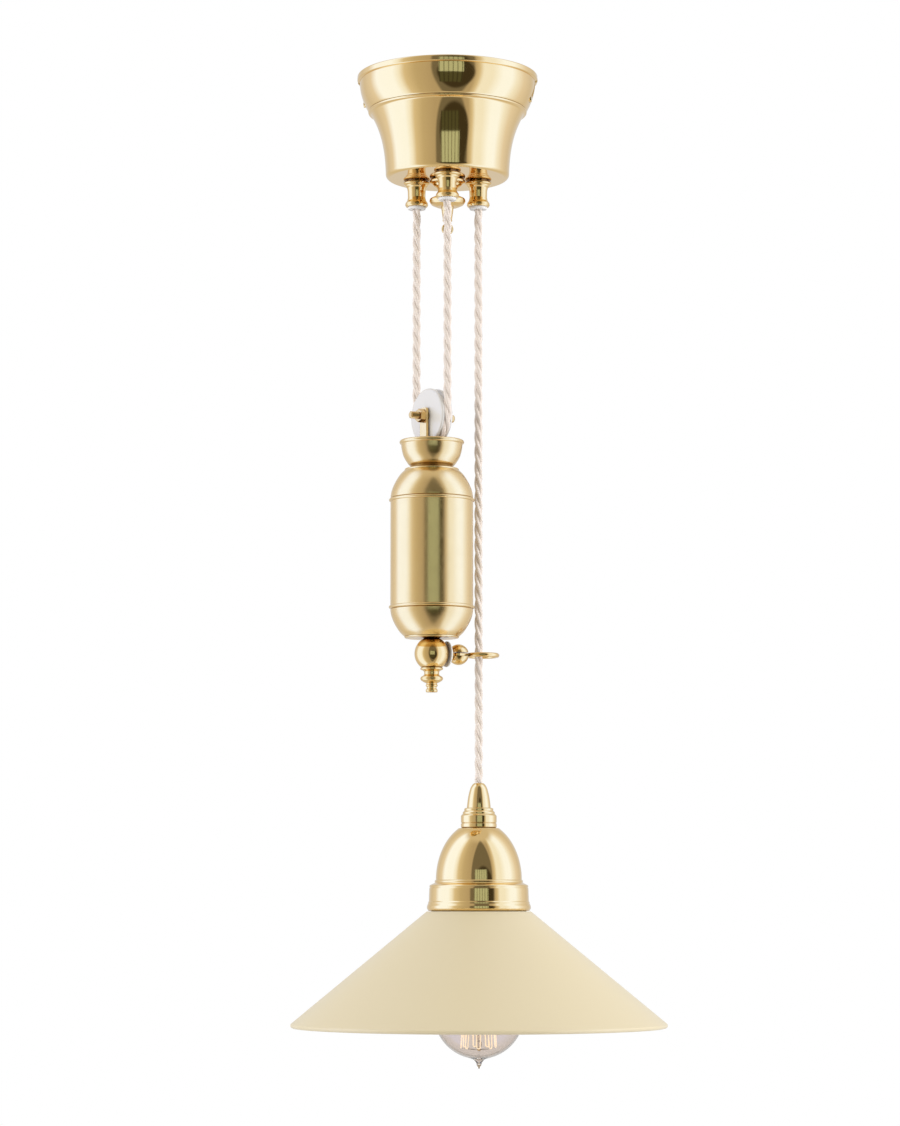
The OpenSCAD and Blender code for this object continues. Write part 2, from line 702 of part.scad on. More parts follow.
disc_count = 3;
disc_gap = 0.1;
disc_r = weight_r - weight_wall - 0.5;
disc_h = (barrel_h - 1) / disc_count;
ballast_z = lower_dome_z + 0.5;
slug_gap = 1;
lower_slug_r = (weight_r - weight_wall) * cos(dome_angle(lower_dome_h, lower_curve)) - slug_gap;
upper_slug_r = (weight_r - weight_wall) * cos(dome_angle(upper_dome_h, upper_curve)) - slug_gap;

module ballast_discs() {
  color(IRON) translate([weight_at[0], weight_at[1], ballast_z])
    for (i = [0:disc_count - 1]) translate([0, 0, i * disc_h]) tube(disc_r, rod_r + fit_gap, disc_h - disc_gap);
}

module ballast_slugs() {
  lower_z = weight_end_z + weight_wall;
  upper_z = ballast_z + disc_count * disc_h;
  color(IRON) translate([weight_at[0], weight_at[1], 0]) {
    translate([0, 0, lower_z]) tube(lower_slug_r, rod_r + fit_gap, ballast_z - lower_z);
    translate([0, 0, upper_z]) tube(upper_slug_r, rod_r + fit_gap, upper_dome_z - weight_wall - upper_z);
  }
}

// ---- Finial and cord guide ----
stem_r = 3;
stem_start = rod_r + fit_gap + 1;
ring_1_r = 7.4;
ring_2_r = 7.5;

module finial() {
  top = acos((ball_r - ball_sink) / ball_r);
  t = finial_tail_h;
  start = -ball_r * 0.75;
  end = start - t;
  color(BRASS) translate([weight_at[0], weight_at[1], ball_z]) difference() {
    spun(concat(
      [[0, ball_r - ball_sink]],
      arc([0, 0], ball_r, 90 - top, asin(-0.75), 24),
      arc([ring_1_r - 1.3, start - 0.9], 1.3, 60, -70, 6),
      [[5.3, start - t * 0.19], [5.3, start - t * 0.27]],
      arc([ring_2_r - 1.9, start - t * 0.42], 1.9, 60, -50, 8),
      [[5.4, start - t * 0.6], [3.6, start - t * 0.7], [3.3, start - t * 0.8], [3.7, start - t * 0.88],
       [3.7, end + 0.6], [3, end], [0, end]]));
    translate([0, 0, ball_r - ball_sink - rod_into_ball - 1]) cylinder(r = rod_r + fit_gap, h = rod_into_ball + 2);
    rotate([0, 0, guide_angle]) {
      translate([ball_flat, -ball_r, -ball_r]) cube([5, 2 * ball_r, 2 * ball_r]);
      translate([stem_start - 0.5, 0, 0]) rotate([0, 90, 0]) cylinder(r = stem_r + fit_gap, h = ball_r);
    }
  }
}

module guide_frame(d) translate([weight_at[0], weight_at[1], ball_z]) rotate([0, 0, guide_angle])
  translate([d, 0, 0]) children();

module guide_washer() {
  color(WHITE) guide_frame(ball_flat) rotate([0, 90, 0]) tube(8.5, stem_r + fit_gap, guide_washer_t);
}

slot_h = tab_t + 2 * fit_gap;

module guide_knuckle() {
  flange = 6.3;
  cut = knuckle_seat + knuckle_flange_t;
  ring_reach = guide_centre - guide_r - knuckle_at - fit_gap;
  ring_room = guide_wire_r + 0.2;
  color(BRASS) difference() {
    union() {
      guide_frame(stem_start) rotate([0, 90, 0]) cylinder(r = stem_r, h = knuckle_seat - stem_start + 1);
      guide_frame(knuckle_seat) rotate([0, 90, 0])
        spun([[0, 0], [flange - 0.6, 0], [flange, 0.6], [flange, knuckle_flange_t - 0.6],
          [flange - 0.6, knuckle_flange_t], [0, knuckle_flange_t]]);
      guide_frame(knuckle_at) rotate([0, 90, 0])
        spun(concat([[0, cut - knuckle_at]], arc([0, 0], knuckle_r, asin((cut - knuckle_at) / knuckle_r), 90, 24)));
    }
    guide_frame(cut + 0.5) translate([0, -knuckle_r - 1, -slot_h / 2])
      cube([2 * knuckle_r + 4, 2 * knuckle_r + 2, slot_h]);
    guide_frame(knuckle_at) difference() {
      translate([0, -knuckle_r - 1, -ring_room]) cube([knuckle_r + 1, 2 * knuckle_r + 2, 2 * ring_room]);
      translate([0, 0, -ring_room - 1]) cylinder(r = ring_reach, h = 2 * ring_room + 2);
    }
    guide_frame(knuckle_at) translate([0, 0, -knuckle_r - 1]) cylinder(r = guide_pin_r, h = 2 * knuckle_r + 2);
  }
}

module guide_pin() {
  half = knuckle_r - 0.3;
  color(STEEL) guide_frame(knuckle_at) translate([0, 0, -half]) cylinder(r = guide_pin_r, h = 2 * half);
}

module guide_ring() {
  eye = 3.6;
  tab_end = guide_centre - guide_r + guide_wire_r - knuckle_at;
  color(BRASS) {
    difference() {
      union() {
        guide_frame(knuckle_at) translate([0, 0, -tab_t / 2]) {
          cylinder(r = eye, h = tab_t);
          translate([0, -eye, 0]) cube([tab_end, 2 * eye, tab_t]);
        }
        guide_frame(guide_centre) rotate_extrude() translate([guide_r - guide_wire_r, 0]) circle(r = guide_wire_r);
      }
      guide_frame(knuckle_at) translate([0, 0, -tab_t]) cylinder(r = guide_pin_r + run_gap, h = 2 * tab_t);
      guide_frame(guide_centre) translate([0, 0, -tab_t])
        cylinder(r = guide_r - 2 * guide_wire_r, h = 2 * tab_t);
    }
  }
}

// ---- Lamp cover ----
module at_lamp(z) translate([right[0], right[1], z]) children();

grip_top_r = cord_hole_r + 0.9;
grip_foot_r = 8.3;
nipple_r = 5;
nipple_in = 7;

module cord_grip() {
  color(BRASS) at_lamp(lamp_z) difference() {
    spun(concat(
      [[0, 0], [grip_top_r - 0.5, 0]],
      [for (i = [0:12]) let (t = i / 12)
        [grip_top_r + (grip_foot_r - grip_top_r) * (0.35 * t + 0.65 * sin(90 * t)), -0.5 - (grip_h - 0.5) * t]],
      [[0, -grip_h]]));
    translate([0, 0, -grip_h - 1]) cylinder(r = cord_hole_r, h = grip_h + 2);
    translate([0, 0, -grip_h - 1]) cylinder(r = nipple_r, h = nipple_in + 1);
  }
}

module stepped_collar() {
  h = collar_h;
  color(BRASS) at_lamp(collar_z) difference() {
    spun([[0, 0], [collar_r - 3.2, 0], [collar_r - 2.6, -h * 0.06], [collar_r - 2.4, -h * 0.15],
      [collar_r - 1.6, -h * 0.19], [collar_r - 1.3, -h * 0.3], [collar_r - 0.6, -h * 0.36],
      [collar_r, -h * 0.42], [collar_r, -h * 0.66], [collar_r - 0.5, -h * 0.7], [collar_r - 0.5, -h * 0.74],
      [collar_r, -h * 0.78], [collar_r, -h * 0.95], [collar_r - 0.6, -h], [0, -h]]);
    translate([0, 0, -h - 1]) cylinder(r = nipple_r + fit_gap, h = h + 2);
  }
}

dome_curve = dome_h * 1.09;
dome_top = asin(dome_h / dome_curve);
dome_in_top = asin((dome_h - holder_wall) / (dome_curve - holder_wall));

module holder_dome() {
  color(BRASS) at_lamp(band_z) difference() {
    spun(concat(
      [[0, dome_h]],
      oval([0, 0], dome_r, dome_curve, dome_top, 0, 24),
      [[dome_r - holder_wall, 0]],
      oval([0, 0], dome_r - holder_wall, dome_curve - holder_wall, 0, dome_in_top, 24),
      [[0, dome_h - holder_wall]]));
    cylinder(r = nipple_r + fit_gap, h = dome_h + 5);
  }
}

band_lip = 1.3;
cove_h = 5;

module gallery_band() {
  h = band_h;
  color(BRASS) at_lamp(band_z)
    spun(concat(
      [[dome_r - holder_wall, 0], [dome_r + 0.5, 0], [dome_r + 0.9, -0.8], [dome_r + 0.7, -1.8]],
      [for (i = [1:6]) let (t = i / 6)
        [dome_r + 0.7 + (band_r - dome_r - 0.7) * sin(90 * t), -1.8 - (cove_h - 1.8) * (1 - cos(90 * t))]],
      [[band_r, -h * 0.7], [band_r + 0.4, -h * 0.74]],
      arc([band_r - 0.2, -h + 2.6], 1.5, 50, -60, 6),
      [[band_r - 0.3, -h + 0.4], [band_r - 0.3, -h], [band_r - holder_wall, -h],
       [band_r - holder_wall, -cove_h - 1]],
      [for (i = [5:-1:1]) let (t = i / 6)
        [dome_r + 0.7 - holder_wall + (band_r - dome_r - 0.7) * sin(90 * t),
         -1.8 - holder_wall - (cove_h - 1.8) * (1 - cos(90 * t))]],
      [[dome_r - holder_wall, -1.8]]));
}

// ---- Lampholder ----
holder_boss_r = 8;
holder_cap_r = 17;
holder_cap_z = dome_z - holder_wall - 12;
barrel_top_z = holder_cap_z - 16;
socket_r = cap_r + 1.1;
nipple_end_z = holder_cap_z - 6;
shoulder_over = 5.5;

module holder_nipple() {
  color(BRASS) at_lamp(nipple_end_z) tube(nipple_r, cord_hole_r, collar_z + nipple_in - nipple_end_z);
}

module lampholder() {
  color(WHITE) at_lamp(0) difference() {
    union() {
      translate([0, 0, holder_cap_z]) cylinder(r = holder_boss_r, h = dome_z - holder_wall - holder_cap_z);
      translate([0, 0, barrel_top_z]) cylinder(r = holder_cap_r, h = holder_cap_z - barrel_top_z);
      translate([0, 0, barrel_end_z]) cylinder(r = holder_barrel_r, h = barrel_top_z - barrel_end_z);
      translate([0, 0, shade_z + shade_seat_h]) cylinder(r = holder_barrel_r + shoulder_over, h = 3);
    }
    translate([0, 0, nipple_end_z]) cylinder(r = nipple_r + fit_gap, h = 60);
    translate([0, 0, contact_z + 4]) cylinder(r = 10, h = nipple_end_z - contact_z - 4 + 1);
    translate([0, 0, contact_z]) cylinder(r = 5, h = 5);
    translate([0, 0, barrel_end_z - 1]) cylinder(r = socket_r, h = contact_z - barrel_end_z + 1.5);
  }
}

module socket_shell() {
  color(BRASS) at_lamp(cap_end_z + 1) tube(socket_r - fit_gap, cap_r + 0.3, cap_h - 1);
}

module socket_contact() {
  color(BRASS) at_lamp(contact_z) {
    cylinder(r = 4.6, h = 0.8);
    translate([0, 0, 0.8]) cylinder(r = 1.5, h = 4.4);
  }
}

ring_h = 7;
ring_over = 7;
flute_r = 1;
flute_step = 15;
glass_shelf_z = shade_z + shade_seat_h - shade_wall;

module shade_ring() {
  grip = holder_barrel_r + ring_over;
  color(WHITE) at_lamp(glass_shelf_z - ring_h) difference() {
    spun([[holder_barrel_r + fit_gap, 0], [grip - 3, 0], [grip - 2, 1], [grip - 2, ring_h - 2.5], [grip, ring_h - 2],
      [grip, ring_h], [holder_barrel_r + fit_gap, ring_h]]);
    for (a = [0:flute_step:360 - flute_step]) rotate([0, 0, a])
      translate([grip - 2 + flute_r * 0.4, 0, -1]) cylinder(r = flute_r, h = ring_h - 1);
  }
}

// ---- Shade ----
shade_r = shade_d / 2;
shade_slope = (shade_r - shade_foot_r) / shade_h;
wall_drop = shade_wall * sqrt(1 + pow(shade_slope, 2)) / shade_slope;

module shade() {
  rim_round = 1.2;
  inner_top_z = glass_shelf_z - shade_z;
  inner_start = shade_foot_r + shade_slope * (-inner_top_z - wall_drop);
  hole_r = holder_barrel_r + 0.8;
  color(OPAL) at_lamp(shade_z)
    spun([[hole_r, shade_seat_h], [shade_top_r, shade_seat_h], [shade_top_r, 0], [shade_foot_r, 0],
      [shade_r - rim_round, -shade_h + rim_round], [shade_r, -shade_h], [shade_r - rim_round, -shade_h - 0.8],
      [shade_r - rim_round - shade_wall * 0.6, -shade_h - 0.2],
      [max(inner_start, hole_r + 8), inner_top_z], [hole_r, inner_top_z]]);
}

// ---- Bulb ----
cap_wall = 1.6;

module bulb_cap() {
  pitch = 3.62;
  turns = floor((cap_h - 3) / pitch);
  color(BRASS) at_lamp(contact_z) {
    translate([0, 0, -1]) cylinder(r = 4.5, h = 1);
    spun(concat(
      [[0, -1], [5, -1], [cap_r - 3, -2.2], [cap_r - 0.6, -3.4]],
      [for (i = [0:turns - 1], k = [0:5])
        [cap_r - 0.35 - 0.35 * cos(60 * k), -3.6 - (i + k / 6) * pitch]],
      [[cap_r - 0.6, -2.4 - cap_h], [cap_r - cap_wall, -2.4 - cap_h], [cap_r - cap_wall, -5], [0, -5]]));
  }
}

globe_r = bulb_d / 2;
tangent_h = globe_r * 0.6;
tangent_r = sqrt(pow(globe_r, 2) - pow(tangent_h, 2));
neck_top = cap_end_z - globe_z;
bulb_neck = [for (i = [0:14]) let (t = i / 14)
  hermite([glass_r, neck_top], [1, -30], [tangent_r, tangent_h], [22, -globe_r * 0.98], t)];
pip_r = 1.7;
bulb_wall = 0.9;

module bulb_glass() {
  inside = globe_r - bulb_wall;
  color(CLEAR) at_lamp(globe_z)
    spun(concat(
      bulb_neck,
      arc([0, 0], globe_r, asin(0.6) - 4, -90 + asin(pip_r / globe_r), 30),
      [[pip_r * 0.55, -globe_r - pip_h * 0.4], [pip_r * 0.35, -globe_r - pip_h], [0, -globe_r - pip_h],
       [0, -inside]],
      arc([0, 0], inside, -88, asin(0.6) - 4, 30),
      shifted(reversed(bulb_neck), [-bulb_wall, 0])));
}

stem_foot_z = cap_end_z;
stem_foot_r = glass_r - bulb_wall - 0.05;
press_z = globe_z + 27;
hub_z = globe_z - 14;
cage_top_z = globe_z + 18;
cage_end_z = globe_z - 23.5;
cage_top_r = 8.5;

module bulb_stem() {
  color(CLEAR) at_lamp(0) {
    spun([[0, stem_foot_z], [stem_foot_r, stem_foot_z], [8, stem_foot_z - 3], [5, stem_foot_z - 9],
      [3.2, press_z + 4], [3.2, press_z], [1.1, press_z - 2], [1.1, hub_z], [2, hub_z - 1], [2, hub_z - 3],
      [0, hub_z - 4]]);
  }
}

cage_bends = 12;
wire_r = 0.28;
hook_r = 0.16;
bend_half = 1.1;
function cage_at(i) = let (a = i * 330 / cage_bends + 15, r = i % 2 == 0 ? cage_top_r : cage_r)
  [r * cos(a), r * sin(a), i % 2 == 0 ? cage_top_z : cage_end_z];
function cage_bend(i) = let (p = cage_at(i), a = i * 330 / cage_bends + 15, end = i % 2 == 0 ? 1 : -1)
  [for (k = [-1:1]) p + bend_half * [-k * sin(a), k * cos(a), end * (1 - abs(k))]];

module filament() {
  color(GLOW) at_lamp(0) {
    cord_tube([for (i = [0:cage_bends]) each cage_bend(i)], wire_r, 6, true);
    for (i = [0:cage_bends]) {
      start = [0, 0, i % 2 == 0 ? press_z - 3 : hub_z - 2];
      p = cage_at(i) + [0, 0, i % 2 == 0 ? bend_half : -bend_half];
      way = (p - start) / norm(p - start);
      rod_between(start + 0.9 * way, p - (wire_r + 0.02) * way, hook_r);
    }
  }
}

// ---- Cord ----
block_mouth = [-1.6, 18.4, -bracket_t - terminal_h - 0.7];
tail_points = [[left[0], left[1], exit_z], [left[0], left[1], shank_top_z + stop_h], [-20.2, 8.2, -43],
  [-17.6, 10.8, -36], [-13, 14, -30], [-7.6, 16.8, -25.5], [-3, 18.2, -20.5], block_mouth];

function tail_at(i) = tail_points[max(0, min(len(tail_points) - 1, i))];
function tail_curve(i, t) = 0.5 * (2 * tail_at(i) + (tail_at(i + 1) - tail_at(i - 1)) * t
  + (2 * tail_at(i - 1) - 5 * tail_at(i) + 4 * tail_at(i + 1) - tail_at(i + 2)) * t * t
  + (3 * tail_at(i) - tail_at(i - 1) - 3 * tail_at(i + 1) + tail_at(i + 2)) * t * t * t);

// A tube along points. Its rings keep level with X, or with the line out from the axis
module cord_tube(points, r, sides, outward = false) {
  n = len(points);
  ways = [for (i = [0:n - 1]) let (d = points[min(i + 1, n - 1)] - points[max(i - 1, 0)]) d / norm(d)];
  level = [for (p = points) outward ? [p[0], p[1], 0] : [1, 0, 0]];
  rings = [for (i = [0:n - 1]) let (u0 = cross(ways[i], level[i]), u = u0 / norm(u0), v = cross(ways[i], u))
    [for (k = [0:sides - 1]) points[i] + r * (cos(360 * k / sides) * u + sin(360 * k / sides) * v)]];
  polyhedron(
    points = [for (ring = rings) each ring],
    faces = concat(
      [[for (k = [0:sides - 1]) k]],
      [for (i = [0:n - 2], k = [0:sides - 1])
        [i * sides + k, (i + 1) * sides + k, (i + 1) * sides + (k + 1) % sides]],
      [for (i = [0:n - 2], k = [0:sides - 1])
        [i * sides + k, (i + 1) * sides + (k + 1) % sides, i * sides + (k + 1) % sides]],
      [[for (k = [sides - 1:-1:0]) (n - 1) * sides + k]]));
}

module cord_tail() {
  bend = concat([for (i = [1:len(tail_points) - 2], k = [0:2]) tail_curve(i, k / 3)], [block_mouth]);
  color(CORD) {
    translate([left[0], left[1], exit_z]) cylinder(r = cord_r - 0.02, h = shank_top_z + stop_h - exit_z);
    cord_tube(bend, cord_r, 12);
  }
}

module strand(at, end_z) color(CORD) translate([at[0], at[1], end_z]) cylinder(r = cord_r, h = exit_z - end_z);
module cord_left_run() strand(left, axle_z);
module cord_front_run() strand(front, axle_z);
module cord_lamp_run() strand(right, lamp_z);

module cord_weight_wrap() {
  color(CORD) along(weight_at, axle_z, axle_angle)
    rotate([0, 0, -90]) rotate_extrude(angle = 180) translate([groove_r, 0]) circle(r = cord_r);
}

module cord_sheave_wrap() {
  way = (right - front) / norm(right - front);
  steps = 16;
  over = [for (i = [0:steps]) let (a = 180 * i / steps, p = sheave_at - groove_r * cos(a) * way)
    [p[0], p[1], sheave_z + groove_r * sin(a)]];
  color(CORD)
    cord_tube(concat([[front[0], front[1], exit_z]], over, [[right[0], right[1], exit_z]]), cord_r - 0.02, 12);
}

module cord_holder_tail() {
  end_z = nipple_end_z + 2;
  color(CORD) at_lamp(end_z) cylinder(r = cord_r, h = lamp_z - end_z);
}

ceiling_bracket();
bayonet_pins();
earth_screw();
terminal_block();
terminal_screws();
canopy_shell();
gland_left();
gland_front();
gland_right();
gland_locknuts();
bush_left();
bush_front();
bush_right();
centre_boss();
boss_nut();
drop_eye();
cord_stop();
sheave_yoke();
sheave_axle();
ceiling_sheave();
sheave_bush();
pulley_fork();
pulley_axle();
axle_nuts();
weight_pulley();
pulley_bush();
weight_cup();
rod_nut();
centre_rod();
weight_upper_dome();
weight_barrel();
weight_lower_dome();
ballast_discs();
ballast_slugs();
finial();
guide_washer();
guide_knuckle();
guide_pin();
guide_ring();
cord_grip();
stepped_collar();
holder_dome();
gallery_band();
holder_nipple();
lampholder();
socket_shell();
socket_contact();
shade_ring();
shade();
bulb_cap();
bulb_glass();
bulb_stem();
filament();
cord_tail();
cord_left_run();
cord_weight_wrap();
cord_front_run();
cord_sheave_wrap();
cord_lamp_run();
cord_holder_tail();
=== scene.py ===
# Rise and fall pendant: polished brass, porcelain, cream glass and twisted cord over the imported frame.
import json
import math

import bmesh
import bpy
from mathutils import Matrix, Vector


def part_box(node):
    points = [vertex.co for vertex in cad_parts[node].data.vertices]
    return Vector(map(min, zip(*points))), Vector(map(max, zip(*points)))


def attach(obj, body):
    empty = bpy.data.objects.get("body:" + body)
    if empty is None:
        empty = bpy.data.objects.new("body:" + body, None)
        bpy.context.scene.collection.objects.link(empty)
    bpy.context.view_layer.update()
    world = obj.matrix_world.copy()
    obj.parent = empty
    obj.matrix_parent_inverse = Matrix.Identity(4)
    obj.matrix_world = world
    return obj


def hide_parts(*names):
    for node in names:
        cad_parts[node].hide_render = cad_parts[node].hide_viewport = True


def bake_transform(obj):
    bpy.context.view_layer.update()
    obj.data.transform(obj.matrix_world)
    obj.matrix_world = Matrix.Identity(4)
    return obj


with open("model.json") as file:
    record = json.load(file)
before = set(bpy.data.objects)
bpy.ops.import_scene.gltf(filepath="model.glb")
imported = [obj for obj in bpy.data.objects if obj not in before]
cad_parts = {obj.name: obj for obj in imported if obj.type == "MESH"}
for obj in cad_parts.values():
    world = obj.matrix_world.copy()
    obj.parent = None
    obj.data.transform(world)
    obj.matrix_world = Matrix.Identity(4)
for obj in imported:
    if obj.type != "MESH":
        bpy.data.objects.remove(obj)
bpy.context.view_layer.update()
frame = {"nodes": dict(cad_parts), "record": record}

mm = 0.001
fullTurn = 2 * math.pi
scene = bpy.context.scene
print("frame loaded:", len(frame["nodes"]), "nodes")


def low(node):  # lowest corner of a node, in millimetres
    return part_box(node)[0] / mm


def high(node):
    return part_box(node)[1] / mm


def middle(node):
    return (low(node) + high(node)) / 2


# The photograph's view, from below the canopy and above the shade's rim
camera = {"x": 1.7, "away": 2200, "height": -555.2, "tiltUp": 5.884, "lens": 106.81}
view = bpy.data.cameras.new("camera")
view.lens = camera["lens"]
view.sensor_width = 36
view.clip_end = 100
viewer = bpy.data.objects.new("camera", view)
viewer.location = Vector((camera["x"], -camera["away"], camera["height"])) * mm
viewer.rotation_euler = (math.radians(90 + camera["tiltUp"]), 0, 0)
scene.collection.objects.link(viewer)
scene.camera = viewer


# Materials
def newFinish(name, settings):  # a Principled shader with these sockets set
    finish = bpy.data.materials.new(name)
    finish.use_nodes = True
    shader = finish.node_tree.nodes["Principled BSDF"]
    for socket, value in settings.items():
        shader.inputs[socket].default_value = value
    return finish, shader, finish.node_tree


def addNode(tree, kind, settings=None, **inputs):
    node = tree.nodes.new(kind)
    for name, value in (settings or {}).items():
        setattr(node, name, value)
    for name, value in inputs.items():
        socket = node.inputs[int(name[1:])] if name[0] == "i" and name[1:].isdigit() else node.inputs[name]
        if isinstance(value, bpy.types.NodeSocket):
            tree.links.new(value, socket)
        else:
            socket.default_value = value
    return node


def maths(tree, operation, a, b=0.0, c=0.0):
    return addNode(tree, "ShaderNodeMath", {"operation": operation}, i0=a, i1=b, i2=c).outputs[0]


def remap(tree, value, low, high, toLow=0.0, toHigh=1.0, smooth=False):
    node = addNode(tree, "ShaderNodeMapRange", {"interpolation_type": "SMOOTHSTEP" if smooth else "LINEAR"},
                   i0=value, i1=low, i2=high, i3=toLow, i4=toHigh)
    return node.outputs[0]


def blendColours(tree, share, first, second):
    node = addNode(tree, "ShaderNodeMix", {"data_type": "RGBA"}, i0=share, i6=first, i7=second)
    return node.outputs[2]


def noiseOver(tree, scale, detail=2.0, stretch=(1, 1, 1)):  # noise on Object coordinates, scale per metre
    coordinates = addNode(tree, "ShaderNodeTexCoord")
    placed = addNode(tree, "ShaderNodeMapping", Vector=coordinates.outputs["Object"], Scale=stretch)
    return addNode(tree, "ShaderNodeTexNoise", Vector=placed.outputs[0], Scale=scale, Detail=detail).outputs["Fac"]


def bumped(tree, shader, height, distance, strength=1.0):
    bump = addNode(tree, "ShaderNodeBump", Height=height, Distance=distance, Strength=strength)
    tree.links.new(bump.outputs[0], shader.inputs["Normal"])


brassTones = {  # each tone: pale and deep colour, smoothest and roughest polish
    "polished_brass": ((0.90, 0.64, 0.27, 1), (0.86, 0.60, 0.24, 1), 0.05, 0.085),
    "weightBrass": ((0.89, 0.64, 0.28, 1), (0.85, 0.59, 0.24, 1), 0.19, 0.25),
    "turnedBrass": ((0.88, 0.61, 0.24, 1), (0.82, 0.54, 0.19, 1), 0.07, 0.12),
    "agedBrass": ((0.82, 0.54, 0.20, 1), (0.60, 0.37, 0.12, 1), 0.08, 0.16),
}
jointShade = {"colour": (0.26, 0.135, 0.045, 1), "reach": 1.8, "weightReach": 5.0, "from": 0.2, "to": 0.7}  # painted shade: dark brown laid into joints, grooves and under parts where ambient occlusion is low


def brassFinish(name):
    pale, deep, smoothest, roughest = brassTones[name]
    finish, shader, tree = newFinish(name, {"Metallic": 1.0, "Coat Weight": 0.3, "Coat Roughness": 0.07})
    clouds = noiseOver(tree, 45, 3)
    clean = blendColours(tree, clouds, pale, deep)
    reach = jointShade["weightReach" if name == "weightBrass" else "reach"] * mm
    # painted shade: the brass darkens towards dark brown where ambient occlusion finds joints and grooves close by,
    # reaching further on the counterweight
    open = addNode(tree, "ShaderNodeAmbientOcclusion", {"samples": 8}, Distance=reach).outputs["AO"]
    jointShaded = blendColours(tree, remap(tree, open, jointShade["from"], jointShade["to"]), jointShade["colour"], clean)
    tree.links.new(jointShaded, shader.inputs["Base Color"])
    handling = noiseOver(tree, 160, 4)  # faint marks of the buffing wheel and of hands
    tree.links.new(remap(tree, handling, 0.35, 0.7, smoothest, roughest), shader.inputs["Roughness"])
    turning = noiseOver(tree, 900, 2, (0.05, 0.05, 3))  # the lathe's fine rings
    bumped(tree, shader, turning, 0.000001, 0.4)
    return finish


def glazeFinish():
    finish, shader, tree = newFinish("white_porcelain", {"Roughness": 0.3, "Coat Weight": 0.25,
                                                         "Coat Roughness": 0.12, "Specular IOR Level": 0.4})
    body = noiseOver(tree, 70, 3)
    tree.links.new(blendColours(tree, body, (0.74, 0.715, 0.67, 1), (0.70, 0.67, 0.62, 1)), shader.inputs["Base Color"])
    bumped(tree, shader, noiseOver(tree, 220, 2), 0.00003, 0.5)
    return finish


def nylonFinish():
    finish, shader, tree = newFinish("white_nylon", {"Roughness": 0.38, "Specular IOR Level": 0.4})
    tree.links.new(blendColours(tree, noiseOver(tree, 300, 2), (0.84, 0.83, 0.82, 1), (0.78, 0.77, 0.76, 1)),
                   shader.inputs["Base Color"])
    bumped(tree, shader, noiseOver(tree, 2500, 2), 0.000008, 0.5)
    return finish


def steelFinish():
    finish, shader, tree = newFinish("steel", {"Metallic": 1.0})
    spangle = noiseOver(tree, 260, 4)
    tree.links.new(blendColours(tree, spangle, (0.60, 0.60, 0.62, 1), (0.48, 0.49, 0.51, 1)), shader.inputs["Base Color"])
    tree.links.new(remap(tree, spangle, 0.3, 0.7, 0.24, 0.38), shader.inputs["Roughness"])
    bumped(tree, shader, noiseOver(tree, 1500, 3), 0.000006, 0.6)
    return finish


def ironFinish():
    finish, shader, tree = newFinish("cast_iron", {"Roughness": 0.62, "Metallic": 0.6})
    grain = noiseOver(tree, 420, 5)
    tree.links.new(blendColours(tree, grain, (0.10, 0.10, 0.105, 1), (0.05, 0.05, 0.052, 1)), shader.inputs["Base Color"])
    bumped(tree, shader, grain, 0.00025, 0.8)
    return finish


def opalFinish():
    finish, shader, tree = newFinish("opal_glass", {
        "Roughness": 0.42, "Specular IOR Level": 0.5, "Coat Weight": 0.2, "Coat Roughness": 0.22,
        "Sheen Weight": 0.3, "Sheen Roughness": 0.4, "Sheen Tint": (1.0, 0.98, 0.92, 1)})
    cloud = noiseOver(tree, 9, 2)
    tree.links.new(blendColours(tree, cloud, (0.735, 0.63, 0.40, 1), (0.715, 0.615, 0.41, 1)),
                   shader.inputs["Base Color"])
    bumped(tree, shader, noiseOver(tree, 35, 2), 0.0001, 0.25)
    return finish


def clearGlass():
    finish, shader, tree = newFinish("clear_glass", {
        "Transmission Weight": 1.0, "Roughness": 0.0, "IOR": 1.47, "Base Color": (0.82, 0.755, 0.71, 1)})
    bumped(tree, shader, noiseOver(tree, 60, 1), 0.00004, 0.15)
    return finish


# painted light: the unlit filament glows by itself so that it shows bright and white
def paintedGlowWire():
    finish, shader, tree = newFinish("filament_wire", {
        "Roughness": 0.5, "Base Color": (0.9, 0.6, 0.3, 1), "Emission Strength": 1.0})
    coil = noiseOver(tree, 900, 2)
    tree.links.new(blendColours(tree, coil, (1.0, 0.95, 0.78, 1), (1.0, 0.86, 0.60, 1)), shader.inputs["Emission Color"])
    return finish


braid = {"strands": 14, "crossings": 380, "depth": 0.00012, "groove": 0.0012}  # crossings of the braid per metre of cord


def cordFinish():
    finish, shader, tree = newFinish("twisted_cord", {
        "Roughness": 0.45, "Specular IOR Level": 0.5, "Sheen Weight": 0.3, "Sheen Roughness": 0.4,
        "Sheen Tint": (1.0, 0.96, 0.93, 1)})
    layout = addNode(tree, "ShaderNodeUVMap", {"uv_map": "braid"})
    across, along = addNode(tree, "ShaderNodeSeparateXYZ", Vector=layout.outputs[0]).outputs[:2]
    round = maths(tree, "MULTIPLY", across, braid["strands"] * fullTurn)
    down = maths(tree, "MULTIPLY", along, braid["crossings"] * fullTurn)
    leftHand = maths(tree, "SINE", maths(tree, "ADD", round, down))
    rightHand = maths(tree, "SINE", maths(tree, "SUBTRACT", round, down))
    weave = maths(tree, "MAXIMUM", leftHand, rightHand)
    # painted shade: the dips of the weave take the darker thread colour, below its raised crossings
    shade = remap(tree, weave, -1.0, 1.0, 1.0, 0.0)
    thread = blendColours(tree, shade, (0.90, 0.80, 0.715, 1), (0.78, 0.68, 0.59, 1))
    # painted shade: the grooves between the cores are darkened where ambient occlusion finds the next core close by
    open = addNode(tree, "ShaderNodeAmbientOcclusion", {"samples": 8, "only_local": True}, Distance=braid["groove"]).outputs["AO"]
    tree.links.new(blendColours(tree, remap(tree, open, 0.2, 0.6), (0.46, 0.385, 0.33, 1), thread), shader.inputs["Base Color"])
    bumped(tree, shader, weave, braid["depth"], 0.5)
    return finish


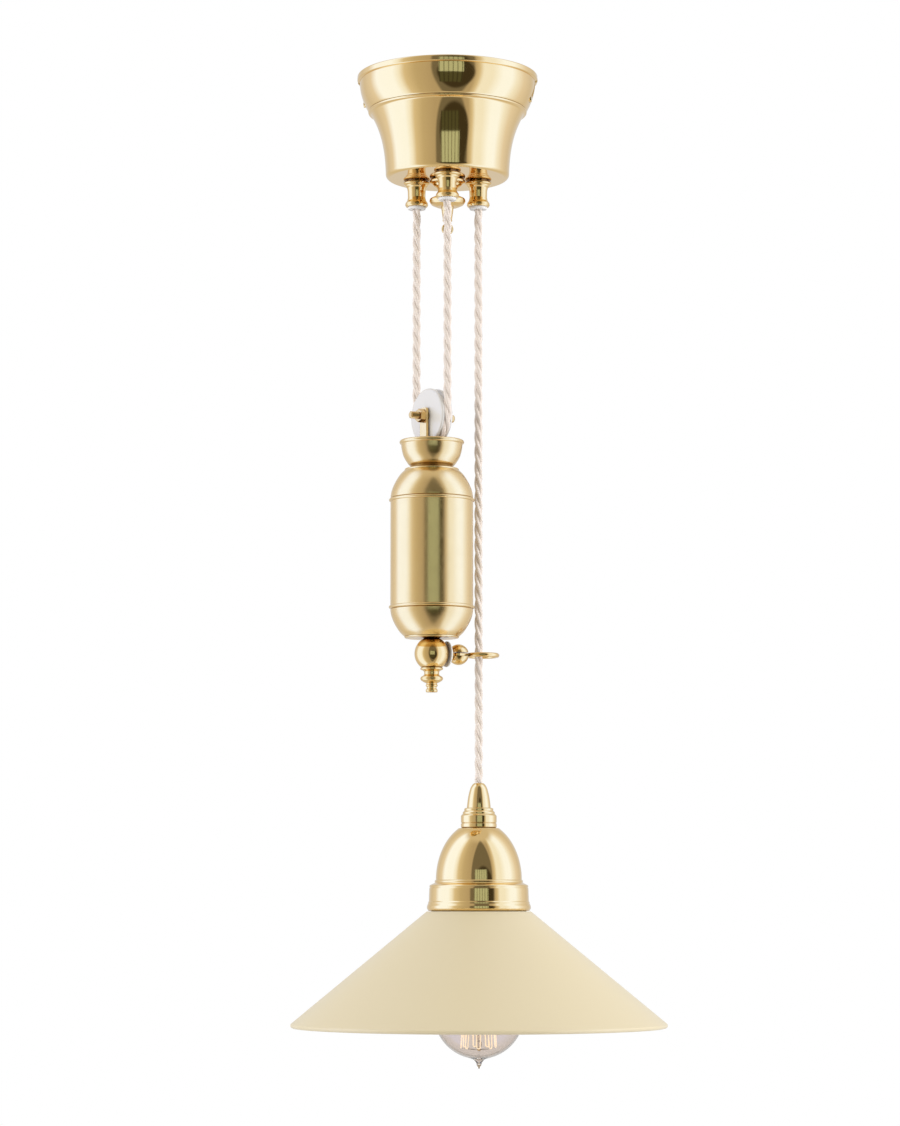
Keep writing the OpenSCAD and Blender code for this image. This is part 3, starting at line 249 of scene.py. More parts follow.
finishes = {name: brassFinish(name) for name in brassTones}
finishes.update({"white_porcelain": glazeFinish(), "white_nylon": nylonFinish(), "steel": steelFinish(),
                 "cast_iron": ironFinish(), "opal_glass": opalFinish(), "clear_glass": clearGlass(),
                 "filament_wire": paintedGlowWire(), "twisted_cord": cordFinish()})
print("finishes ready:", len(finishes))


# Making pieces
def finished(name, shape, sharpAngle=32):  # a mesh object with smooth shading and crisp corners
    mesh = bpy.data.meshes.new(name)
    shape.to_mesh(mesh)
    shape.free()
    mesh.shade_smooth()
    mesh.set_sharp_from_angle(angle=math.radians(sharpAngle))
    piece = bpy.data.objects.new(name, mesh)
    scene.collection.objects.link(piece)
    even = piece.modifiers.new("evenShading", "WEIGHTED_NORMAL")
    even.keep_sharp = True
    return piece


def fitted(piece, finish, body, *nodes):  # gives a piece its finish and its body, and hides the nodes that it stands for
    piece.data.materials.clear()
    piece.data.materials.append(finishes[finish])
    if body:
        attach(piece, body)
    if nodes:
        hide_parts(*nodes)
    return piece


def arc(centre, radius, start, end, steps=10):  # angles in degrees, from the outward direction
    angles = [math.radians(start + (end - start) * i / steps) for i in range(steps + 1)]
    return [(centre[0] + radius * math.cos(a), centre[1] + radius * math.sin(a)) for a in angles]


def oval(across, up, start, end, base=0.0, steps=32):
    angles = [math.radians(start + (end - start) * i / steps) for i in range(steps + 1)]
    return [(across * math.cos(a), base + up * math.sin(a)) for a in angles]


def flowing(points, steps=6):  # a smooth line through points
    ends = [points[0]] + list(points) + [points[-1]]
    line = []
    for before, here, there, after in zip(ends, ends[1:], ends[2:], ends[3:]):
        for i in range(steps):
            t = i / steps
            line.append(tuple(
                0.5 * (2 * b + (c - a) * t + (2 * a - 5 * b + 4 * c - d) * t * t + (3 * b - a - 3 * c + d) * t ** 3)
                for a, b, c, d in zip(before, here, there, after)))
    return line + [tuple(points[-1])]


def rounded(corners, closed=False, steps=6):  # corners as radius, height and, where the corner is round, its fillet
    line = []
    count = len(corners)
    for i, corner in enumerate(corners):
        here = Vector(corner[:2])
        if len(corner) < 3 or not closed and i in (0, count - 1):
            line.append(tuple(here))
            continue
        before = Vector(corners[i - 1][:2]) - here
        after = Vector(corners[(i + 1) % count][:2]) - here
        half = before.angle(after) / 2
        if half > 1.55:
            line.append(tuple(here))
            continue
        cut = min(corner[2] / math.tan(half), before.length * 0.49, after.length * 0.49)
        before.normalize()
        after.normalize()
        centre = here + (before + after).normalized() * (cut / math.cos(half))
        start = here + before * cut - centre
        end = here + after * cut - centre
        line += [tuple(centre + start.slerp(end, k / steps) * start.length) for k in range(steps + 1)]
    return line


def spun(outline, closed=False, steps=160):  # an outline of radius and height, turned round Z
    shape = bmesh.new()
    points = [shape.verts.new((radius * mm, 0, height * mm)) for radius, height in outline]
    pairs = list(zip(points, points[1:] + points[:1])) if closed else list(zip(points, points[1:]))
    line = [shape.edges.new(pair) for pair in pairs]
    bmesh.ops.spin(shape, geom=points + line, cent=(0, 0, 0), axis=(0, 0, 1), dvec=(0, 0, 0), angle=fullTurn,
                   steps=steps, use_merge=True, use_normal_flip=False, use_duplicate=False)
    bmesh.ops.remove_doubles(shape, verts=shape.verts, dist=0.0000002)
    bmesh.ops.recalc_face_normals(shape, faces=shape.faces)
    return shape


def moved(shape, place, towards=None, azimuth=0.0):  # turns Z towards a direction, then moves to a place
    turn = Matrix.Rotation(math.radians(azimuth), 4, "Z")
    if towards is not None:
        turn = Vector((0, 0, 1)).rotation_difference(Vector(towards)).to_matrix().to_4x4() @ turn
    bmesh.ops.transform(shape, matrix=Matrix.Translation(Vector(place) * mm) @ turn, verts=shape.verts)
    return shape


def turned(name, outline, place, closed=False, steps=160, towards=None):
    return finished(name, moved(spun(outline, closed, steps), place, towards))


def combined(piece, other, operation):  # joins or cuts one closed mesh with another
    step = piece.modifiers.new(operation, "BOOLEAN")
    step.operation = operation
    step.solver = "EXACT"
    step.object = other
    even = piece.modifiers["evenShading"]
    piece.modifiers.remove(even)
    depsgraph = bpy.context.evaluated_depsgraph_get()
    mesh = bpy.data.meshes.new_from_object(piece.evaluated_get(depsgraph))
    piece.modifiers.clear()
    mesh.name = piece.name
    piece.data = mesh
    mesh.shade_smooth()
    mesh.set_sharp_from_angle(angle=math.radians(32))
    bpy.data.objects.remove(other)
    even = piece.modifiers.new("evenShading", "WEIGHTED_NORMAL")
    even.keep_sharp = True
    return piece


def block(low, high):  # a box between two corners, in millimetres
    shape = bmesh.new()
    size = Vector(high) - Vector(low)
    centre = (Vector(high) + Vector(low)) / 2
    bmesh.ops.create_cube(shape, size=1)
    bmesh.ops.scale(shape, vec=size * mm, verts=shape.verts)
    bmesh.ops.translate(shape, vec=centre * mm, verts=shape.verts)
    return shape


def prism(corners, near, far):  # an outline of X and Z, drawn out along Y
    shape = bmesh.new()
    face = shape.faces.new([shape.verts.new((x * mm, near * mm, z * mm)) for x, z in rounded(corners, True, 8)])
    side = bmesh.ops.extrude_face_region(shape, geom=[face])["geom"]
    bmesh.ops.translate(shape, vec=(0, (far - near) * mm, 0), verts=[v for v in side if isinstance(v, bmesh.types.BMVert)])
    bmesh.ops.recalc_face_normals(shape, faces=shape.faces)
    return shape


def bevelled(shape, width, segments=3, edges=None):
    bmesh.ops.bevel(shape, geom=edges or shape.edges[:], offset=width * mm, offset_type="OFFSET", segments=segments,
                    profile=0.5, affect="EDGES", material=-1, clamp_overlap=True)
    return shape


# Cords: three braided cores twisted together
cord = {"width": 4.8, "cores": 3, "core": 1.38, "offset": 1.36, "pitch": 31.2, "sides": 16, "step": 1.5, "insideBush": 2.0}


def straightCord(length, phase):  # hangs down from the origin; phase is the turn of its cores at the top
    shape = bmesh.new()
    layout = shape.loops.layers.uv.new("braid")
    steps = max(8, round(length / cord["step"]))
    twist = fullTurn * length / cord["pitch"]
    offset = cord["offset"] * mm
    for k in range(cord["cores"]):
        first = phase + fullTurn * k / cord["cores"]
        before = len(shape.faces)
        place = Matrix.Rotation(first, 4, "Z") @ Matrix.Translation((offset, 0, 0))
        ring = bmesh.ops.create_circle(shape, segments=cord["sides"], radius=cord["core"] * mm, matrix=place)["verts"]
        edges = list({edge for vert in ring for edge in vert.link_edges})
        bmesh.ops.spin(shape, geom=ring + edges, cent=(0, 0, 0), axis=(0, 0, 1), angle=twist, steps=steps,
                       dvec=(0, 0, -length * mm / steps), use_merge=False, use_normal_flip=False, use_duplicate=False)
        bmesh.ops.holes_fill(shape, edges=[edge for edge in shape.edges if edge.is_boundary], sides=0)
        shape.faces.ensure_lookup_table()
        for face in shape.faces[before:]:
            spots = []
            for loop in face.loops:
                down = -loop.vert.co.z
                turn = first + fullTurn * down / mm / cord["pitch"]
                out = loop.vert.co.xy - Vector((math.cos(turn), math.sin(turn))) * offset
                spots.append([(math.atan2(out.y, out.x) - turn) / fullTurn % 1.0, down])
            if max(spot[0] for spot in spots) - min(spot[0] for spot in spots) > 0.5:
                spots = [[spot[0] + (1.0 if spot[0] < 0.5 else 0.0), spot[1]] for spot in spots]
            for loop, spot in zip(face.loops, spots):
                loop[layout].uv = spot
    bmesh.ops.recalc_face_normals(shape, faces=shape.faces)
    return shape


def laidAlong(shape, route):  # bends a straight cord along a route whose first stretch points down
    stations = [Vector(point) * mm for point in route]
    ways = [(b - a).normalized() for a, b in zip(stations, stations[1:])]
    ways = [ways[0]] + [(a + b).normalized() for a, b in zip(ways, ways[1:])] + [ways[-1]]
    lengths = [0.0]
    for a, b in zip(stations, stations[1:]):
        lengths.append(lengths[-1] + (b - a).length)
    sides = [Vector((1, 0, 0))]
    for a, b in zip(ways, ways[1:]):
        side = a.rotation_difference(b) @ sides[-1]
        sides.append((side - b * side.dot(b)).normalized())
    for vert in shape.verts:
        down = min(max(-vert.co.z, 0.0), lengths[-1] - 1e-9)
        i = max(k for k in range(len(lengths) - 1) if lengths[k] <= down)
        share = (down - lengths[i]) / (lengths[i + 1] - lengths[i])
        centre = stations[i].lerp(stations[i + 1], share)
        way = ways[i].lerp(ways[i + 1], share).normalized()
        side = sides[i].lerp(sides[i + 1], share)
        side = (side - way * side.dot(way)).normalized()
        vert.co = centre + side * vert.co.x + side.cross(way) * vert.co.y
    return shape


def routeLength(route):
    return sum((Vector(b) - Vector(a)).length for a, b in zip(route, route[1:]))


leftAt = middle("cord_left_run").xy
frontAt = middle("cord_front_run").xy
rightAt = middle("cord_lamp_run").xy
exitZ = high("cord_lamp_run").z
axleZ = low("cord_left_run").z
lampZ = low("cord_lamp_run").z
grooveRadius = (frontAt - leftAt).length / 2


def halfTurn(start, end, z, upward, steps=36):  # round a wheel from one strand to the other
    centre = (start + end) / 2
    reach = (end - start) / 2
    points = []
    for i in range(steps + 1):
        angle = math.pi * i / steps
        flat = centre - reach * math.cos(angle)
        points.append((flat.x, flat.y, z + upward * reach.length * math.sin(angle)))
    return points


def hangingRun(name, at, endZ, phase, node):
    top = exitZ + cord["insideBush"]
    shape = straightCord(top - endZ, phase)
    bmesh.ops.translate(shape, vec=Vector((at.x, at.y, top)) * mm, verts=shape.verts)
    piece = fitted(finished(name, shape), "twisted_cord", None, node)
    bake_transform(piece)
    return piece


def phaseAfter(phase, length):
    return phase + fullTurn * length / cord["pitch"]


weightRun = exitZ + cord["insideBush"] - axleZ
leftPhase = 0.4
hangingRun("cordLeftRun", leftAt, axleZ, leftPhase, "cord_left_run")

wrapRoute = halfTurn(leftAt, frontAt, axleZ, -1)
wrapPhase = phaseAfter(leftPhase, weightRun)
wrapLength = routeLength(wrapRoute)
wrap = laidAlong(straightCord(wrapLength, wrapPhase), wrapRoute)
fitted(finished("cordWeightWrap", wrap), "twisted_cord", "counterweight", "cord_weight_wrap")

across = (frontAt - leftAt)
acrossAngle = math.atan2(across.y, across.x)
frontPhase = 2 * acrossAngle + math.pi - phaseAfter(wrapPhase, wrapLength) - fullTurn * weightRun / cord["pitch"]
hangingRun("cordFrontRun", frontAt, axleZ, frontPhase, "cord_front_run")
hangingRun("cordLampRun", rightAt, lampZ, 1.1, "cord_lamp_run")

sheaveZ = middle("ceiling_sheave").z
insideTop = exitZ + cord["insideBush"]
overRoute = [(rightAt.x, rightAt.y, insideTop)] + halfTurn(rightAt, frontAt, sheaveZ, 1)
overRoute.append((frontAt.x, frontAt.y, insideTop))
overRoute[1:1] = [(rightAt.x, rightAt.y, insideTop + (sheaveZ - insideTop) * i / 12) for i in range(1, 12)]


def stopAndTail():  # from the left gland up through the stop and over to the terminal block
    stop = high("cord_stop").z
    mouth = (-1.6, 18.4, low("terminal_block").z - 0.7)
    bend = [(leftAt.x, leftAt.y, insideTop), (leftAt.x, leftAt.y, (insideTop + stop) / 2), (leftAt.x, leftAt.y, stop),
            (-20.2, 8.2, -43), (-17.6, 10.8, -36), (-13, 14, -30), (-7.6, 16.8, -25.5), (-3, 18.2, -20.5), mouth]
    return flowing(bend)


def risingCord(name, route, body, node):  # a cord laid along a route that first points up
    shape = straightCord(routeLength(route), 0.0)
    bmesh.ops.rotate(shape, cent=(0, 0, 0), matrix=Matrix.Rotation(math.pi, 3, "X"), verts=shape.verts)
    for vert in shape.verts:
        vert.co.z = -vert.co.z
    bmesh.ops.recalc_face_normals(shape, faces=shape.faces)
    return fitted(finished(name, laidAlong(shape, route)), "twisted_cord", body, node)


risingCord("cordSheaveWrap", overRoute, "ceiling_canopy", "cord_sheave_wrap")
risingCord("cordTail", stopAndTail(), "ceiling_canopy", "cord_tail")
holderTail = straightCord(high("cord_holder_tail").z - low("cord_holder_tail").z,
                          phaseAfter(1.1, insideTop - lampZ))
bmesh.ops.translate(holderTail, vec=Vector((rightAt.x, rightAt.y, high("cord_holder_tail").z)) * mm, verts=holderTail.verts)
fitted(finished("cordHolderTail", holderTail), "twisted_cord", "lamp", "cord_holder_tail")
print("cords laid")


# Canopy
canopy = {"rim": 60.5, "lip": 4.0, "lipStep": 1.6, "beadDepth": 24.6, "beadLine": 52.5, "bead": 0.9, "floor": 41.2,
          "corner": 3.0, "wall": 1.2, "slotLean": 22, "slotAngle": -8, "slotHalf": 2.5, "slotDepth": 17}
floorZ = low("canopy_shell").z


def canopyRadius(depth):
    if depth < canopy["beadDepth"]:
        share = (depth - canopy["lip"]) / (canopy["beadDepth"] - canopy["lip"])
        return canopy["beadLine"] + (canopy["rim"] - canopy["lipStep"] - canopy["beadLine"]) * (1 - share ** 2)
    rest = 1 - (depth - canopy["beadDepth"]) / (-floorZ - canopy["beadDepth"])
    return canopy["floor"] + (canopy["beadLine"] - 0.6 - canopy["floor"]) * (0.85 * rest ** 2.8 + 0.15 * rest)


def canopyOutline():
    wall = canopy["wall"]
    lip, bead, corner = canopy["lip"], canopy["bead"], canopy["corner"]
    upperEnd, lowerStart = canopy["beadDepth"] - bead, canopy["beadDepth"] + bead
    lowerEnd = -floorZ - corner
    upper = [lip + 0.2 + (upperEnd - lip - 0.2) * i / 20 for i in range(21)]
    lower = [lowerStart + (lowerEnd - lowerStart) * i / 40 for i in range(41)]
    cornerR = canopyRadius(lowerEnd)
    outside = arc((canopy["rim"] - 1, -1), 1, 90, 0, 6)
    outside += arc((canopy["rim"] - 1, 1 - lip), 1, 0, -75, 6)
    outside += [(canopyRadius(depth), -depth) for depth in upper]
    outside += arc((canopy["beadLine"] - 0.2, -canopy["beadDepth"]), bead, 70, -70, 10)
    outside += [(canopyRadius(depth), -depth) for depth in lower]
    outside += arc((cornerR - corner, floorZ + corner), corner, 0, -90, 12)
    inside = [(0, floorZ + wall)] + arc((cornerR - corner, floorZ + corner), corner - wall, -90, 0, 8)
    inside += [(canopyRadius(depth) - wall, -depth) for depth in reversed(lower[::4])]
    inside += [(canopyRadius(depth) - wall, -depth) for depth in reversed(upper[::4])]
    return inside + [(canopy["rim"] - wall - 0.6, 0)] + outside + [(0, floorZ)]


def slotCutter(angle):  # a leaning slot, round at its lower end, for one bayonet pin
    depth, half = canopy["slotDepth"], canopy["slotHalf"]
    out = canopyRadius(depth)
    shape = prism([(-half, 2 * depth), (-half, -half, half), (half, -half, half), (half, 2 * depth)], -out - 8, -out + 8)
    lean = Matrix.Rotation(math.radians(canopy["slotLean"]), 4, "Y")
    place = Matrix.Rotation(math.radians(angle + 90), 4, "Z") @ Matrix.Translation((0, 0, -depth * mm)) @ lean
    bmesh.ops.transform(shape, matrix=place, verts=shape.verts)
    return finished("slotCutter", shape)


shell = turned("canopyShell", canopyOutline(), (0, 0, 0), steps=224)
for side in (0, 180):
    combined(shell, slotCutter(canopy["slotAngle"] + side), "DIFFERENCE")
fitted(shell, "polished_brass", "ceiling_canopy", "canopy_shell")

# Glands: outline as radius, height under the canopy's floor, fillet
glandOutline = [
    (2.8, 10.7), (4.9, 10.7, 0.4), (4.9, 0), (6.6, 0), (6.6, -0.75), (8.5, -0.8, 0.3), (9.05, -1.4, 0.4),
    (8.7, -2.2, 0.5), (7.7, -2.9, 0.4), (7.4, -3.7, 0.4), (6.5, -4.6, 0.6), (6, -6.8, 2), (5.9, -11.2, 3),
    (6.4, -13.3, 1.5), (7.5, -14.9, 0.9), (7.75, -16.3, 0.8), (7, -17.5, 0.4),
    (4.8, -17.5), (4.8, -11.5), (2.8, -11.5)]
bushOutline = [(2.8, 0, 0.5), (6, 0, 0.8), (6, 1.8, 0.2), (4.8, 1.8), (4.8, 7.8), (2.8, 7.8)]
for side in ("left", "front", "right"):
    at = middle("gland_" + side)
    gland = turned("gland" + side.capitalize(), rounded(glandOutline, True), (at.x, at.y, floorZ), True, 96)
    fitted(gland, "turnedBrass", "ceiling_canopy", "gland_" + side)
    bush = turned("bush" + side.capitalize(), rounded(bushOutline, True), (at.x, at.y, low("bush_" + side).z), True, 80)
    fitted(bush, "white_nylon", "ceiling_canopy", "bush_" + side)

# Centre boss, and the small eye under it
bossOutline = [
    (0, 6.7), (3, 6.7, 0.4), (3, 0), (9.4, 0), (9.4, -0.7), (11.4, -0.75, 0.3), (12, -1.5, 0.5), (11.9, -2.6, 0.8),
    (10, -3.9, 0.6), (9, -5.2, 0.8), (7, -6.6, 1.2), (5.9, -9, 2.4), (6.4, -11, 2), (9.2, -12.3, 1.6),
    (11.8, -13.6, 1.2), (12.1, -15.1, 1.4), (10.8, -17.5, 2.5), (7.2, -19, 2.5), (0, -19.3)]
eyeStemOutline = [(0, 0.2), (4.3, 0.2), (4.3, -0.8, 0.3), (3, -9.8, 1), (3.4, -10.4, 0.4), (2.7, -11, 0.4),
                  (1.7, -11.4, 0.3), (1.7, -13), (0, -13)]
eye = {"outer": 4.0, "wire": 1.05}
fitted(turned("centreBoss", rounded(bossOutline), (0, 0, floorZ)), "turnedBrass", "ceiling_canopy", "centre_boss")
bossEnd = low("centre_boss").z
eyeRing = spun(arc((eye["outer"] - eye["wire"], 0), eye["wire"], 0, 345, 23), True, 64)
moved(eyeRing, (0, 0, low("drop_eye").z + eye["outer"]), towards=(0, 1, 0))
eyeStem = turned("dropEye", rounded(eyeStemOutline), (0, 0, bossEnd), steps=72)
combined(eyeStem, finished("eyeRing", eyeRing), "UNION")
fitted(eyeStem, "turnedBrass", "ceiling_canopy", "drop_eye")
print("canopy and glands made")

# Pulley wheels
wheel = {"bore": 3.95, "halfWidth": 4.6, "flange": 18.6, "groove": 2.7}


def wheelOutline():
    half, flange = wheel["halfWidth"], wheel["flange"]
    face = [(wheel["bore"], half - 0.1), (flange - 1, half - 0.1, 1.2), (flange - 0.1, half - 0.8, 0.7), (flange, half - 2, 0.4)]
    face = rounded(face)
    return face + arc((grooveRadius, 0), wheel["groove"], 105, 255, 20) + [(r, -z) for r, z in reversed(face)]


weightAt = middle("weight_barrel").xy
axleAlong = Vector((across.y, -across.x, 0)).normalized() * -1
sheaveAlong = Vector(((rightAt - frontAt).y, -(rightAt - frontAt).x, 0)).normalized()
for name, along, body in (("weight_pulley", axleAlong, "weight_wheel"), ("ceiling_sheave", sheaveAlong, "ceiling_wheel")):
    made = turned(name.replace("_p", "P").replace("_s", "S"), wheelOutline(), middle(name), True, 144, along)
    fitted(made, "white_porcelain", body, name)

# Fork, axle and nuts
fork = {"inside": 5.2, "strap": 2.0, "width": 7.4, "tipRound": 2, "bend": 2.4, "stub": 17.5, "thread": 0.8}


def forkShape():
    height = high("pulley_fork").z - low("pulley_fork").z
    inner, outer = fork["inside"], fork["inside"] + fork["strap"]
    corners = [(-outer, height), (-outer, 0, fork["bend"]), (outer, 0, fork["bend"]), (outer, height),
               (inner, height), (inner, fork["strap"], 0.6), (-inner, fork["strap"], 0.6), (-inner, height)]
    shape = prism(corners, -fork["width"] / 2, fork["width"] / 2)
    tips = [e for e in shape.edges if all(v.co.z > (height - 0.1) * mm for v in e.verts)
            and abs(e.verts[0].co.x - e.verts[1].co.x) > 1 * mm]
    bevelled(shape, fork["tipRound"], 8, tips)
    sharp = [e for e in shape.edges if e.is_manifold and e.calc_face_angle() > 0.7]
    return bevelled(shape, 0.25, 2, sharp)


axleAngle = math.degrees(math.atan2(axleAlong.y, axleAlong.x))
forkPlace = (weightAt.x, weightAt.y, low("pulley_fork").z)
fitted(finished("pulleyFork", moved(forkShape(), forkPlace, azimuth=axleAngle)), "weightBrass", "counterweight", "pulley_fork")


def axleOutline():
    half, radius, tooth = fork["stub"], 2.4, fork["thread"]
    start = fork["inside"] + fork["strap"] + 3.6
    ridges = int((half - 0.9 - start) / tooth)
    side = [(radius - 0.05, 0), (radius - 0.05, start)]
    for i in range(ridges):
        side += [(radius, start + (i + 0.3) * tooth), (radius - 0.35, start + (i + 0.8) * tooth)]
    side += [(radius, half - 0.7), (radius - 0.8, half), (0, half)]
    head = rounded([(radius - 0.05, 0), (radius - 0.05, start + 0.6), (radius + 0.35, start + 0.9, 0.3), (radius + 0.35, half, 1.7), (0, half)])
    return [(r, -z) for r, z in reversed(side)] + head[1:]


fitted(turned("pulleyAxle", axleOutline(), middle("pulley_axle"), steps=64, towards=axleAlong), "agedBrass",
       "counterweight", "pulley_axle")


def hexNut(flats, height, place, towards, turn=0.0):
    shape = bmesh.new()
    bmesh.ops.create_cone(shape, cap_ends=True, segments=6, radius1=flats / math.sqrt(3) * mm,
                          radius2=flats / math.sqrt(3) * mm, depth=height * mm)
    bevelled(shape, 0.35, 3)
    return moved(shape, place, towards, turn)


nuts = bmesh.new()
for side in (-1, 1):
    centre = middle("pulley_axle") + axleAlong * side * (fork["inside"] + fork["strap"] + 2)
    nut = hexNut(8, 4, centre, axleAlong, 12)
    mesh = bpy.data.meshes.new("nut")
    nut.to_mesh(mesh)
    nut.free()
    nuts.from_mesh(mesh)
fitted(finished("axleNuts", nuts), "agedBrass", "counterweight", "axle_nuts")

# Counterweight: cup, domes and barrel
cupFloor = low("pulley_fork").z
cup = {"depth": 15.6, "foot": 3.4, "bead": 1.4, "rimRadius": 20.0, "wall": 1.5}


def cupOutline():
    side = flowing([(13.7, -2.9), (14.3, -1.7), (15.9, 0), (18.5, 4.3), (19.8, 8.6), (20.3, 12.2)], 5)
    depth, bead, wall = cup["depth"], cup["bead"], cup["wall"]
    inner = [(r - wall, z) for r, z in side if z > 0.3]
    rim = arc((cup["rimRadius"], depth - bead), bead, -75, 130, 14)
    return ([(0, 0), (inner[0][0] - 1.2, 0)] + inner + list(reversed(rim)) + list(reversed(side))
            + [(13.2, -3), (13.2, -cup["foot"]), (0, -cup["foot"])])


fitted(turned("weightCup", cupOutline(), (weightAt.x, weightAt.y, cupFloor)), "weightBrass", "counterweight", "weight_cup")

body = {"radius": 27.3, "wall": 1.2, "bead": 1.0, "lip": 17.9}
domeSide = [(18.2, 0.935), (20.9, 0.8), (23.5, 0.605), (25.5, 0.405), (26.8, 0.21), (27.3, 0.045)]  # share of its height
upperTop = high("weight_upper_dome").z
barrelTop, barrelEnd = high("weight_barrel").z, low("weight_barrel").z
lowerEnd = low("weight_lower_dome").z


def domeOutline(height):  # flat end with a small lip at the top, bead at z = -height
    radius, bead, wall = body["radius"], body["bead"], body["wall"]
    side = flowing([(r, (share - 1) * height) for r, share in domeSide])
    lip = arc((body["lip"] - 0.7, -0.8), 0.8, 90, -35, 10)
    mould = [(radius - 0.1, -height + 0.5), (radius - 0.35, -height + 0.25), (radius - 0.1, -height + 0.05)]
    ring = arc((radius, -height - bead), bead, 75, -90, 12)
    inner = [(r - wall, z - wall / 2) for r, z in reversed(side[::3])]
    return [(0, 0)] + lip + side + mould + ring + [(radius - wall, -height - 2 * bead)] + inner + [(0, -wall - 0.8)]


upper = turned("weightUpperDome", domeOutline(upperTop - barrelTop - 2),
               (weightAt.x, weightAt.y, upperTop), steps=192)
fitted(upper, "weightBrass", "counterweight", "weight_upper_dome")
lower = turned("weightLowerDome", domeOutline(barrelEnd - lowerEnd - 2),
               (weightAt.x, weightAt.y, lowerEnd), steps=192, towards=(0, 0, -1))
fitted(lower, "weightBrass", "counterweight", "weight_lower_dome")
barrelHeight = barrelTop - barrelEnd
barrelOutline = [(body["radius"], 0), (body["radius"], barrelHeight), (body["radius"] - body["wall"], barrelHeight),
                 (body["radius"] - body["wall"], 0)]
fitted(turned("weightBarrel", barrelOutline, (weightAt.x, weightAt.y, barrelEnd), True, 192), "weightBrass",
       "counterweight", "weight_barrel")

# Finial under the weight
ball = {"radius": 11.4, "sink": 1.2, "flat": 10.4}
ballZ = lowerEnd - ball["radius"] + ball["sink"]
finialTail = [
    (6.5, -9.1, 0.3), (7.5, -9.4, 0.5), (7.5, -10.5, 0.6), (6, -11.1, 0.4), (5, -11.9, 0.5), (4.9, -13.6, 0.6),
    (5.6, -14.4, 0.4), (7.1, -15.3, 0.7), (7.6, -16.5, 0.9), (7, -17.7, 0.8), (5.3, -18.8, 0.5), (3.5, -19.6, 0.6),
    (3.5, -20.1, 0.3), (4, -20.7, 0.3), (3.9, -21.4, 0.3), (3.2, -22, 0.4), (3.2, -23, 0.4), (3.9, -23.8, 0.4),
    (3.9, -25, 0.3), (3.4, -25.5, 0.2), (0, -25.5)]
topAngle = math.degrees(math.asin((ball["radius"] - ball["sink"]) / ball["radius"]))
ballOutline = [(0, ball["radius"] - ball["sink"])] + arc((0, 0), ball["radius"], topAngle, -52, 40)
finial = turned("weightFinial", ballOutline + rounded([ballOutline[-1]] + finialTail)[1:], (weightAt.x, weightAt.y, ballZ), steps=128)
guideWay = Vector((rightAt.x - weightAt.x, rightAt.y - weightAt.y, 0)).normalized()
guideAngle = math.degrees(math.atan2(guideWay.y, guideWay.x))
guideRoot = Vector((weightAt.x, weightAt.y, ballZ))
flatCutter = moved(block((ball["flat"], -15, -15), (20, 15, 15)), guideRoot, azimuth=guideAngle)
combined(finial, finished("flatCutter", flatCutter), "DIFFERENCE")
fitted(finial, "turnedBrass", "counterweight", "finial")

# Guide: washer, slotted ball and ring
guide = {"seat": 11.4, "flange": 6.3, "ball": 6.9, "at": 19.5, "slot": 1.3, "wire": 1.5, "outer": 11.5, "past": 2.5}
washerOutline = [(3.1, 0), (8.5, 0, 0.35), (8.5, 1, 0.35), (3.1, 1)]
fitted(turned("guideWasher", rounded(washerOutline, True), guideRoot + guideWay * ball["flat"], True, 80, guideWay),
       "white_nylon", "counterweight", "guide_washer")
necked = [(0, 0), (guide["flange"], 0, 0.5), (guide["flange"], 1.4, 0.5), (4.9, 2.1, 0.6)]
knuckleBall = arc((0, guide["at"] - guide["seat"]), guide["ball"], -50, 90, 36)
knuckle = turned("guideKnuckle", rounded(necked + [knuckleBall[0]]) + knuckleBall[1:], guideRoot + guideWay * guide["seat"],
                 steps=96, towards=guideWay)
slotFrom = guide["seat"] + 2.5
slotShape = moved(block((slotFrom, -9, -guide["slot"]), (30, 9, guide["slot"])), guideRoot, azimuth=guideAngle)
combined(knuckle, finished("knuckleSlot", slotShape), "DIFFERENCE")
ringAt = (rightAt - weightAt).length + guide["past"]
mouthFrom = guide["at"] + (ringAt - guide["outer"] - guide["at"]) * 0.88 - 0.3  # room for the ring as it swings
mouthHalf = guide["wire"] + 0.35
ringRoom = moved(block((mouthFrom, -9, -mouthHalf), (40, 9, mouthHalf)), guideRoot, azimuth=guideAngle)
combined(knuckle, finished("ringRoom", ringRoom), "DIFFERENCE")
fitted(knuckle, "turnedBrass", "counterweight", "guide_knuckle")

ringShape = spun(arc((guide["outer"] - guide["wire"], 0), guide["wire"], 0, 345, 23), True, 128)
ring = finished("guideRing", moved(ringShape, guideRoot + guideWay * ringAt))
tab = block((guide["at"] - 3.4, -3.4, -1.1), (ringAt - guide["outer"] + guide["wire"] + 0.3, 3.4, 1.1))
tabEnds = [e for e in tab.edges if abs(e.verts[0].co.z - e.verts[1].co.z) > 1 * mm and e.verts[0].co.x < guide["at"] * mm]
bevelled(tab, 3.2, 8, tabEnds)
for vert in tab.verts:
    if vert.co.x > (guide["at"] + 4) * mm:
        vert.co.y *= 0.5
bevelled(tab, 0.4, 3, [e for e in tab.edges if e.calc_face_angle() > 0.9])
combined(ring, finished("ringTab", moved(tab, guideRoot, azimuth=guideAngle)), "UNION")
fitted(ring, "turnedBrass", "guide", "guide_ring")
print("counterweight made")

